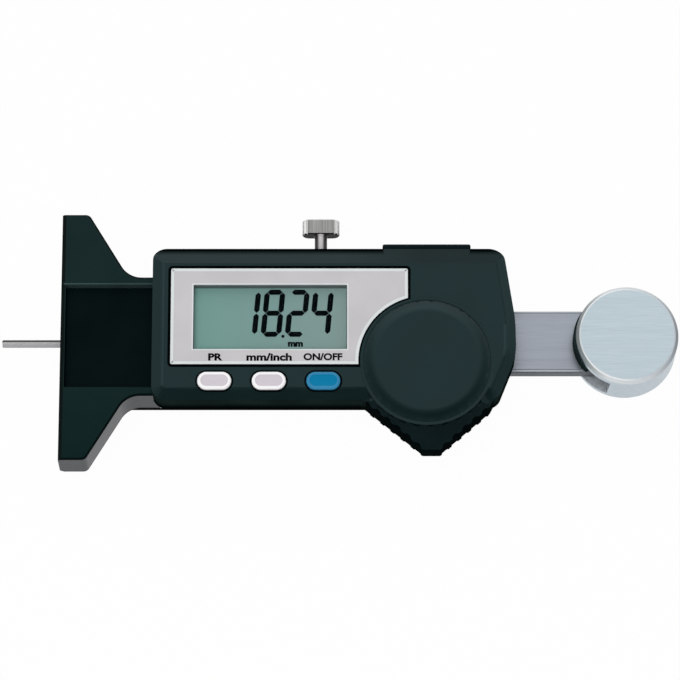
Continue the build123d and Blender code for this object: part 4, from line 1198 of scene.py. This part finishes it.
@dataclass
class DisplayUnit(Assembly):
    """The silver panel, the window and the liquid-crystal display with what it shows."""

    panel_rounding: tuple[float, int, float] = (0.08 * MM, 2, 40.0)
    reading: str = "1824"
    last_right: float = 62.2 * MM
    pitch: float = 5.65 * MM
    digit_width: float = 3.6 * MM
    digit_height: float = 10.3 * MM
    base: float = -0.25 * MM
    stroke: float = 1.25 * MM
    stroke_gap: float = 0.12 * MM
    slant: float = 0.09
    ink: float = 0.02 * MM
    sign_place: Span = (54.8 * MM, -2.7 * MM)
    sign_size: Span = (3.5 * MM, 1.2 * MM)
    sign_weight: float = 0.06
    dot_place: Span = (51.9 * MM, -0.75 * MM)
    dot_radius: float = 0.38 * MM
    dot_sides: int = 24
    # Bright bands along the panel's edge and the window's edge: painted highlights.
    rim: float = 0.7 * MM
    rim_overlap: float = 0.03 * MM
    rim_sunk: float = 0.05 * MM
    rim_proud: float = 0.03 * MM
    window_rim: float = 0.3 * MM
    gasket_show: float = 0.14 * MM
    gasket_reach: float = 1.0 * MM
    # A dark band round the panel: painted shade in the gap.
    seam: float = 0.65 * MM
    seam_gap: float = 0.005 * MM
    seam_thick: float = 0.3 * MM
    seam_low: float = 0.03 * MM
    arc_keep: float = 15.55 * MM
    legends: tuple[tuple[str, float, float, float, float], ...] = (
        ("PR", 36.3 * MM, -6.5 * MM, 3.3 * MM, 1.75 * MM),
        ("mm/inch", 48.75 * MM, -6.5 * MM, 10.5 * MM, 1.9 * MM),
        ("ON/OFF", 61.2 * MM, -6.45 * MM, 9.0 * MM, 1.75 * MM),
    )

    def build(self) -> None:
        """Make the display unit."""
        outer, window = self.edge_loops()
        self.panel(outer, window)
        self.seams(outer, window)
        self.digits()
        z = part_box("bezel_panel")[1].z
        for number, (text, x, y, length, height) in enumerate(self.legends):
            mesh = lettering(text, (x, y, z), (length, height, self.ink))
            self.add(f"legend_{number + 1}", mesh, "print_black", "chip_black")

    def panel(self, outer: Loop, window: Loop) -> None:
        """Make the panel with bright bands along its edge and its window's edge, painted highlights.

        Args:
            outer: The panel's edge.
            window: The window's edge.
        """
        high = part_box("bezel_panel")[1].z
        mesh = self.bench.copy("display_panel", "bezel_panel", *self.panel_rounding)
        self.bench.stand_in("display_panel", mesh, "bezel_panel", "bezel_silver")
        loops = (
            ("panel_rim", offset_loop(outer, -self.rim), offset_loop(outer, -self.rim_overlap)),
            ("window_rim", offset_loop(window, self.rim_overlap), offset_loop(window, self.window_rim)),
        )
        for name, inner, outside in loops:
            rim = band(name, inner, outside, high - self.rim_sunk, high + self.rim_proud)
            self.add(name, rim, "bezel_rim_highlight", "bezel_silver")

    def edge_loops(self) -> list[Loop]:
        """Read the panel's outer edge and its window's edge.

        Returns:
            Both loops, the longer one first.
        """
        level = 0.99
        shape = self.bench.solid("bezel_panel")
        following: dict[bmesh.types.BMVert, bmesh.types.BMVert] = {}
        for face in shape.faces:
            if face.normal.z > level:
                for corner in face.loops:
                    if corner.link_loop_radial_next.face.normal.z < level:
                        following[corner.vert] = corner.link_loop_next.vert
        loops = []
        while following:
            start, point = following.popitem()
            loop = [start.co.xy.copy()]
            while point in following:
                loop.append(point.co.xy.copy())
                point = following.pop(point)
            loops.append(loop)
        shape.free()
        return sorted(loops, key=lambda loop: min(p.x for p in loop) - max(p.x for p in loop))

    def seams(self, outer: Loop, window: Loop) -> None:
        """Make the dark band round the panel, painted shade in its gap, clear of the boss, and the gasket
        behind its window.

        Args:
            outer: The panel's edge.
            window: The window's edge.
        """
        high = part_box("bezel_panel")[1].z - self.seam_low
        centre = Vector(BOSS)
        wide = []
        for point in offset_loop(outer, self.seam):
            away = point - centre
            wide.append(centre + away * max(1.0, self.arc_keep / away.length))
        seam = band("panel_gap_shade", offset_loop(outer, self.seam_gap), wide, high - self.seam_thick, high)
        self.add("panel_gap_shade", seam, "gap_shade_black", "black_rubber")
        inner, hidden = (offset_loop(window, way) for way in (-self.gasket_show, self.gasket_reach))
        heights = (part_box("display_glass")[1].z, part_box("display_lens")[0].z)
        gasket = band("window_gasket", inner, hidden, *heights)
        self.add("window_gasket", gasket, "gasket_grey", "black_rubber")

    def digits(self) -> None:
        """Make the segments that are lit, the small unit sign and the point."""
        across, up = self.digit_width / 2.0, self.digit_height / 2.0
        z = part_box("display_glass")[1].z
        places: dict[float, list[Point]] = {1.0: [], 0.0: []}
        for place, figure in enumerate(reversed(self.reading)):
            middle = self.last_right - across - self.pitch * place
            for stroke in DIGITS[figure]:
                side, rise, upright = stroke.value
                places[upright].append((middle + side * across, self.base + rise * up, z))
        self.segments("segments_upright", 1.0, up - self.stroke_gap, places[1.0])
        self.segments("segments_level", 0.0, self.digit_width - self.stroke_gap, places[0.0])
        sign = lettering("mm", (*self.sign_place, z), (*self.sign_size, self.ink), self.sign_weight)
        ring = stadium(*self.dot_place, z, 0.0, self.dot_radius, self.dot_sides)
        dot = prism("decimal_point", [corner[:2] for corner in ring], z, z + self.ink)
        for name, mesh in (("unit_sign", sign), ("decimal_point", dot)):
            self.add(name, mesh, "segment_ink", "chip_black")

    def segments(self, name: str, upright: float, length: float, places: list[Point]) -> None:
        """Make the segments of one direction.

        Args:
            name: The piece's name.
            upright: 1 for standing segments, 0 for lying ones.
            length: Length of a segment from tip to tip.
            places: Their middles.
        """
        seed = mesh_of("segment_places", places, [])
        seed.attributes.new("upright", "FLOAT", "POINT").data.foreach_set("value", [upright] * len(places))
        sizes = {"Length": length, "Width": self.stroke, "Thick": self.ink}
        sizes |= {"Slant": self.slant, "Base": self.base}
        mesh = segment_tree().grow(seed, sizes, self.bench.palette["segment_ink"])
        self.add(name, mesh, "segment_ink", "chip_black")


@dataclass
class Keypad(Assembly):
    """The three keys with their raised rims and darker dished middles, and the dark bands round them, both
    painted shade.
    """

    rows: tuple[tuple[str, str, str], ...] = (
        ("button_origin", "key_white", "key_centre"),
        ("button_unit", "key_white", "key_centre"),
        ("button_power", "key_blue", "key_centre_blue"),
    )
    length: float = 7.9 * MM
    width: float = 4.3 * MM
    flange_growth: float = 1.0 * MM
    flange_foot: float = 7.75 * MM
    flange_top: float = 8.75 * MM
    stem_radius: float = 1.2 * MM
    rim: float = 0.75 * MM
    dish: float = 0.12 * MM
    crown: tuple[Span, ...] = (
        (0.0, 0.45 * MM), (0.06 * MM, 0.22 * MM), (0.2 * MM, 0.07 * MM), (0.4 * MM, 0.0)
    )
    hollow: tuple[Span, ...] = ((0.0, 0.0), (0.12 * MM, 0.7), (0.35 * MM, 1.0))
    hollow_end: float = 0.3 * MM
    dished: Span = (0.02 * MM, 0.2 * MM)
    sharp: float = 50.0
    # A dark band round each key: painted shade in its gap.
    shade_ring: Span = (0.12 * MM, 0.45 * MM)
    shade_ring_heights: Span = (10.1 * MM, 10.33 * MM)

    def build(self) -> None:
        """Make the keys."""
        for node, rim, centre in self.rows:
            self.key(node, rim, centre)

    def key(self, node: str, rim: str, centre: str) -> None:
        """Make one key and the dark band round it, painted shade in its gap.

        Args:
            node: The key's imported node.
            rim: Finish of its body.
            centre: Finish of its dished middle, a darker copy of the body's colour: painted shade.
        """
        low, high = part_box(node)
        x, y = (low.x + high.x) / 2.0, (low.y + high.y) / 2.0
        radius, gap = self.width / 2.0, self.length - self.width
        flange = radius + self.flange_growth
        edge = radius - self.rim
        profile = (
            (0.0, self.stem_radius, low.z),
            (0.0, self.stem_radius, self.flange_foot),
            (gap, flange, self.flange_foot),
            (gap, flange, self.flange_top),
            (gap, radius, self.flange_top),
            *((gap, radius - inset, high.z - drop) for inset, drop in self.crown),
            *((gap, edge - inset, high.z - self.dish * share) for inset, share in self.hollow),
            (gap, self.hollow_end, high.z - self.dish),
        )
        mesh = loft(node, [stadium(x, y, z, length, r) for length, r, z in profile])
        for face in mesh.polygons:
            face.use_smooth = True
            off_x, off_y = abs(face.center.x - x), abs(face.center.y - y)
            # The dished middle takes the darker copy: painted shade.
            inside = off_y < edge - self.dished[0] and face.center.z > high.z - self.dished[1]
            face.material_index = int(inside and math.hypot(max(0.0, off_x - gap / 2.0), off_y) < edge)
        mesh.set_sharp_from_angle(angle=math.radians(self.sharp))
        self.bench.stand_in(f"{node}_cap", mesh, node, rim, centre)
        loops = [[Vector(p[:2]) for p in stadium(x, y, 0.0, gap, radius + grow)] for grow in self.shade_ring]
        shade_ring = band(f"{node}_sleeve", *loops, *self.shade_ring_heights)
        self.add(f"{node}_sleeve", shade_ring, "gap_shade_black", "black_rubber")


@dataclass
class BeamUnit(Assembly):
    """The beam with the lines along its edges, and the rod."""

    rounding: float = 0.1 * MM
    rod_rounding: tuple[float, int, float] = (0.08 * MM, 2, 25.0)
    slopes: tuple[float, ...] = (0.8,)
    lines: tuple[float, ...] = (-6.75 * MM, -5.9 * MM, 6.95 * MM)
    line_width: float = 0.16 * MM
    line_inset: float = 1.0 * MM

    def build(self) -> None:
        """Make the beam."""
        mesh = self.bench.copy("beam_bar", "beam", self.rounding)
        # Walls and chamfers take the dull copy: painted shade.
        dress_by_slope(mesh, self.slopes)
        self.bench.stand_in("beam_bar", mesh, "beam", "beam_steel", "beam_edge_shade")
        low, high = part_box("beam")
        left, right = low.x + self.line_inset, high.x - self.line_inset
        for number, place in enumerate(self.lines):
            under, over = place - self.line_width / 2.0, place + self.line_width / 2.0
            outline = [(left, under), (right, under), (right, over), (left, over)]
            name = f"beam_line_{number + 1}"
            line = prism(name, outline, high.z - LINE_SUNK, high.z + LINE_PROUD)
            self.add(name, line, "beam_line", "beam_steel", "beam_group")
        # The rod's finish paints reflection and shade across it.
        rod = self.bench.copy("depth_rod", "measuring_rod", *self.rod_rounding)
        self.bench.stand_in("depth_rod", rod, "measuring_rod", "rod_steel")


@dataclass
class ThumbDisc(Assembly):
    """The aluminium thumb disc, brushed on its face and turned on its wall, and the dark crescent painted as
    its shadow on the beam.
    """

    rounding: Rounding = Rounding(0.2 * MM, 3)
    centre: Span = (131.6 * MM, 0.0)
    front_foot: float = 4.0 * MM
    front_centre: Span = (131.95 * MM, -0.25 * MM)
    front_share: float = 0.967
    chamfer_cut: float = 0.42
    chamfer_slopes: Span = (0.25, 0.95)
    slot_radius: float = 11.7 * MM
    slot_low: float = -3.0 * MM
    slot_high: float = 6.0 * MM
    # The dark crescent in the slot's mouth: painted shadow of the disc on the beam.
    crescent_radius: float = 11.85 * MM
    crescent_half: float = 7.2 * MM
    crescent_show: float = 0.6 * MM
    crescent_hidden: float = 1.0 * MM
    crescent_low: float = 1.65 * MM
    crescent_high: float = 5.15 * MM
    crescent_steps: int = 24

    def build(self) -> None:
        """Make the disc, with its front tier drawn in a little."""
        shape = self.bench.solid("thumb_disc")
        for vertex in shape.verts:
            if vertex.co.z > self.front_foot:
                away = vertex.co.xy - Vector(self.centre)
                vertex.co.x, vertex.co.y = Vector(self.front_centre) + away * self.front_share
        shape.normal_update()
        middle = self.halve_chamfer(shape)
        mesh = self.bench.rounded(shape, "disc_body", self.rounding)
        steep, flat = self.chamfer_slopes
        brushed, turned, inner, slot, outer = range(5)
        for face in mesh.polygons:
            # The inner chamfer band takes the painted highlight, the outer one painted shade.
            chamfer = inner if face.center.z > middle else outer
            wall = chamfer if steep < face.normal.z < flat else turned
            face.material_index = brushed if abs(face.normal.z) > flat else wall
            away = (face.center.xy - Vector(self.centre)).length
            if away < self.slot_radius and self.slot_low < face.center.z < self.slot_high:
                face.material_index = slot
        finishes = ("disc_aluminium", "disc_wall", "disc_chamfer_highlight", "disc_slot", "disc_rim_shading")
        self.bench.stand_in("disc_body", mesh, "thumb_disc", *finishes)
        self.shadow_crescent()

    def halve_chamfer(self, shape: Shape) -> float:
        """Cut the front chamfer into an inner band with a painted highlight and an outer band with painted
        shade.

        Args:
            shape: The disc's shape, which is changed.

        Returns:
            Height of the cut.
        """
        foot, top = sorted({round(v.co.z, 6) for v in shape.verts})[-2:]
        middle = foot + (top - foot) * self.chamfer_cut
        geometry = [*shape.verts, *shape.edges, *shape.faces]
        bmesh.ops.bisect_plane(shape, geom=geometry, plane_co=(0.0, 0.0, middle), plane_no=(0.0, 0.0, 1.0))
        return middle

    def shadow_crescent(self) -> None:
        """Make the dark crescent in the slot's mouth, a painted shadow of the disc on the beam's face."""
        steps = self.crescent_steps
        half = math.asin(self.crescent_half / self.crescent_radius)
        outer = []
        inner = []
        for i in range(steps + 1):
            turn = math.pi + half * (2.0 * i / steps - 1.0)
            bulge = self.crescent_show * math.sin(math.pi * i / steps) ** 0.5
            way = Vector((math.cos(turn), math.sin(turn)))
            outer.append(Vector(self.front_centre) + way * (self.crescent_radius + bulge))
            inner.append(Vector(self.front_centre) + way * (self.crescent_radius - self.crescent_hidden))
        outline = [tuple(p) for p in (*outer, *reversed(inner))]
        mesh = prism("painted_disc_shadow", outline, self.crescent_low, self.crescent_high)
        self.add("painted_disc_shadow", mesh, "disc_shadow_black", "black_rubber", "beam_group")


@dataclass
class LockScrew(Assembly):
    """The lock screw with its flat grooved head."""

    rounding: tuple[float, int, float] = (0.08 * MM, 2, 25.0)
    side_share: float = 0.3
    under_lean: float = -0.5
    head_low: float = 26.6 * MM

    def build(self) -> None:
        """Make the screw."""
        mesh = self.bench.copy("lock_screw_turned", "lock_screw", *self.rounding)
        # Rounded sides take a painted highlight, the underside painted shade, and the neck painted shade and
        # highlight.
        groove, side, under, neck = range(4)
        for face in mesh.polygons:
            head = side if abs(face.normal.x) > self.side_share else groove
            if face.normal.y < self.under_lean:
                head = under
            face.material_index = neck if face.center.y < self.head_low else head
        finishes = ("knurled_steel", "knurl_side_highlight", "screw_shade", "neck_steel_shading")
        self.bench.stand_in("lock_screw_turned", mesh, "lock_screw", *finishes)


@dataclass
class Studio:
    """Floor, light and camera."""

    target: Point = (65.15 * MM, 0.985 * MM, 0.0)
    elevation: float = 72.0
    distance: float = 1.0
    lens: float = 226.06
    sensor: float = 36.0
    floor_size: float = 30.0
    floor_gap: float = 0.05 * MM
    floor_grey: float = 0.8
    floor_glow: float = 0.97
    key_energy: float = 9.0
    key_size: float = 0.9
    key_place: Point = (-0.15, -0.3, 1.15)
    wall_way: Point = (0.0, 0.77, 0.638)
    wall_levels: tuple[Span, ...] = (
        (0.3, 0.06), (0.5, 0.14), (0.73, 0.36), (0.847, 0.66), (0.93, 0.72), (1.0, 1.0)
    )
    horizon_levels: tuple[Span, ...] = (
        (0.0, 0.75), (0.25, 0.5), (0.5, 0.3), (0.72, 0.22), (0.86, 0.08), (1.0, 0.08)
    )
    world_level: float = 1.12

    def build(self) -> None:
        """Set the stage."""
        self.floor()
        self.world()
        self.key_light()
        self.camera()
        bpy.context.scene.view_settings.view_transform = "Standard"

    def floor(self) -> None:
        """Lay the white floor, which keeps a faint shadow."""
        z = CAD_BOX[0].z - self.floor_gap
        half = self.floor_size / 2.0
        corners = [(-half, -half, z), (half, -half, z), (half, half, z), (-half, half, z)]
        mesh = bpy.data.meshes.new("studio_floor")
        mesh.from_pydata(corners, [], [(0, 1, 2, 3)])
        floor = bpy.data.objects.new("studio_floor", mesh)
        bpy.context.scene.collection.objects.link(floor)
        mesh.materials.append(self.floor_material())

    def floor_material(self) -> Material:
        """Make the floor's material.

        Returns:
            White paper that glows for the eye and for mirrors only, and is clear from below.
        """
        material = bpy.data.materials.new("floor_paper")
        material.use_nodes = True
        material.node_tree.nodes.clear()
        tree = NodeTree(material.node_tree)
        paper = tree.out("ShaderNodeBsdfDiffuse", {"Color": (*[self.floor_grey] * 3, 1.0)})
        glow = tree.out("ShaderNodeEmission", {"Strength": 1.0})
        ray = tree.node("ShaderNodeLightPath").outputs
        seen = tree.math("MAXIMUM", ray["Is Camera Ray"], ray["Is Glossy Ray"])
        clear = tree.math("MAXIMUM", seen, ray["Is Transmission Ray"])
        share = tree.math("MULTIPLY", clear, self.floor_glow)
        front = tree.out("ShaderNodeMixShader", {0: share, 1: paper, 2: glow})
        behind = tree.node("ShaderNodeNewGeometry").outputs["Backfacing"]
        back = tree.out("ShaderNodeBsdfTransparent")
        one_way = tree.out("ShaderNodeMixShader", {0: behind, 1: front, 2: back})
        tree.node("ShaderNodeOutputMaterial", {"Surface": one_way})
        return material

    def world(self) -> None:
        """Make the room: a soft light wall behind the gauge, a pale horizon, dark over the camera."""
        world = bpy.data.worlds.new("studio_room")
        bpy.context.scene.world = world
        world.use_nodes = True
        world.node_tree.nodes.clear()
        tree = NodeTree(world.node_tree)
        place = tree.node("ShaderNodeTexCoord").outputs["Generated"]
        height = tree.node("ShaderNodeSeparateXYZ", {0: place}).outputs[2]
        lean = tree.node("ShaderNodeVectorMath", {0: place, 1: self.wall_way}, operation="DOT_PRODUCT")
        horizon, wall = (
            tree.ramp(source, [(share, level, level, level) for share, level in levels])
            for source, levels in ((height, self.horizon_levels), (lean.outputs["Value"], self.wall_levels))
        )
        level = tree.math("MULTIPLY", tree.math("MAXIMUM", horizon, wall), self.world_level)
        seen = tree.node("ShaderNodeLightPath").outputs["Is Camera Ray"]
        strength = tree.out("ShaderNodeMix", {0: seen, 2: level, 3: 1.0})
        sky = {"Color": (1.0, 1.0, 1.0, 1.0), "Strength": strength}
        background = tree.out("ShaderNodeBackground", sky)
        tree.node("ShaderNodeOutputWorld", {"Surface": background})

    def key_light(self) -> None:
        """Hang one large soft light over the back left."""
        lamp = bpy.data.lights.new("softbox", "AREA")
        lamp.shape = "SQUARE"
        lamp.size = self.key_size
        lamp.energy = self.key_energy
        holder = bpy.data.objects.new("softbox", lamp)
        holder.location = self.key_place
        aim = Vector(self.target) - holder.location
        holder.rotation_euler = aim.to_track_quat("-Z", "Y").to_euler()
        holder.visible_camera = False
        holder.visible_glossy = False
        bpy.context.scene.collection.objects.link(holder)

    def camera(self) -> None:
        """Put the camera at the photograph's angle."""
        data = bpy.data.cameras.new("camera")
        data.lens = self.lens
        data.sensor_width = self.sensor
        holder = bpy.data.objects.new("camera", data)
        tilt = math.radians(self.elevation)
        away = Vector((0.0, -math.cos(tilt), math.sin(tilt))) * self.distance
        holder.location = Vector(self.target) + away
        holder.rotation_euler = (math.pi / 2.0 - tilt, 0.0, 0.0)
        bpy.context.scene.collection.objects.link(holder)
        bpy.context.scene.camera = holder


def main() -> None:
    """Dress the gauge, sub-assembly by sub-assembly, and set the studio."""
    logging.basicConfig(level=logging.INFO, format="%(name)s %(message)s")
    bench = Bench(frame, Palette())
    bench.keep_all()
    kinds = (MeasuringBridge, Housing, DisplayUnit, Keypad, BeamUnit, ThumbDisc, LockScrew, ScrewSet)
    for kind in kinds:
        log.info("sub-assembly %s", kind.__name__)
        kind(bench).build()
    Studio().build()


if __name__ == "__main__":
    main()
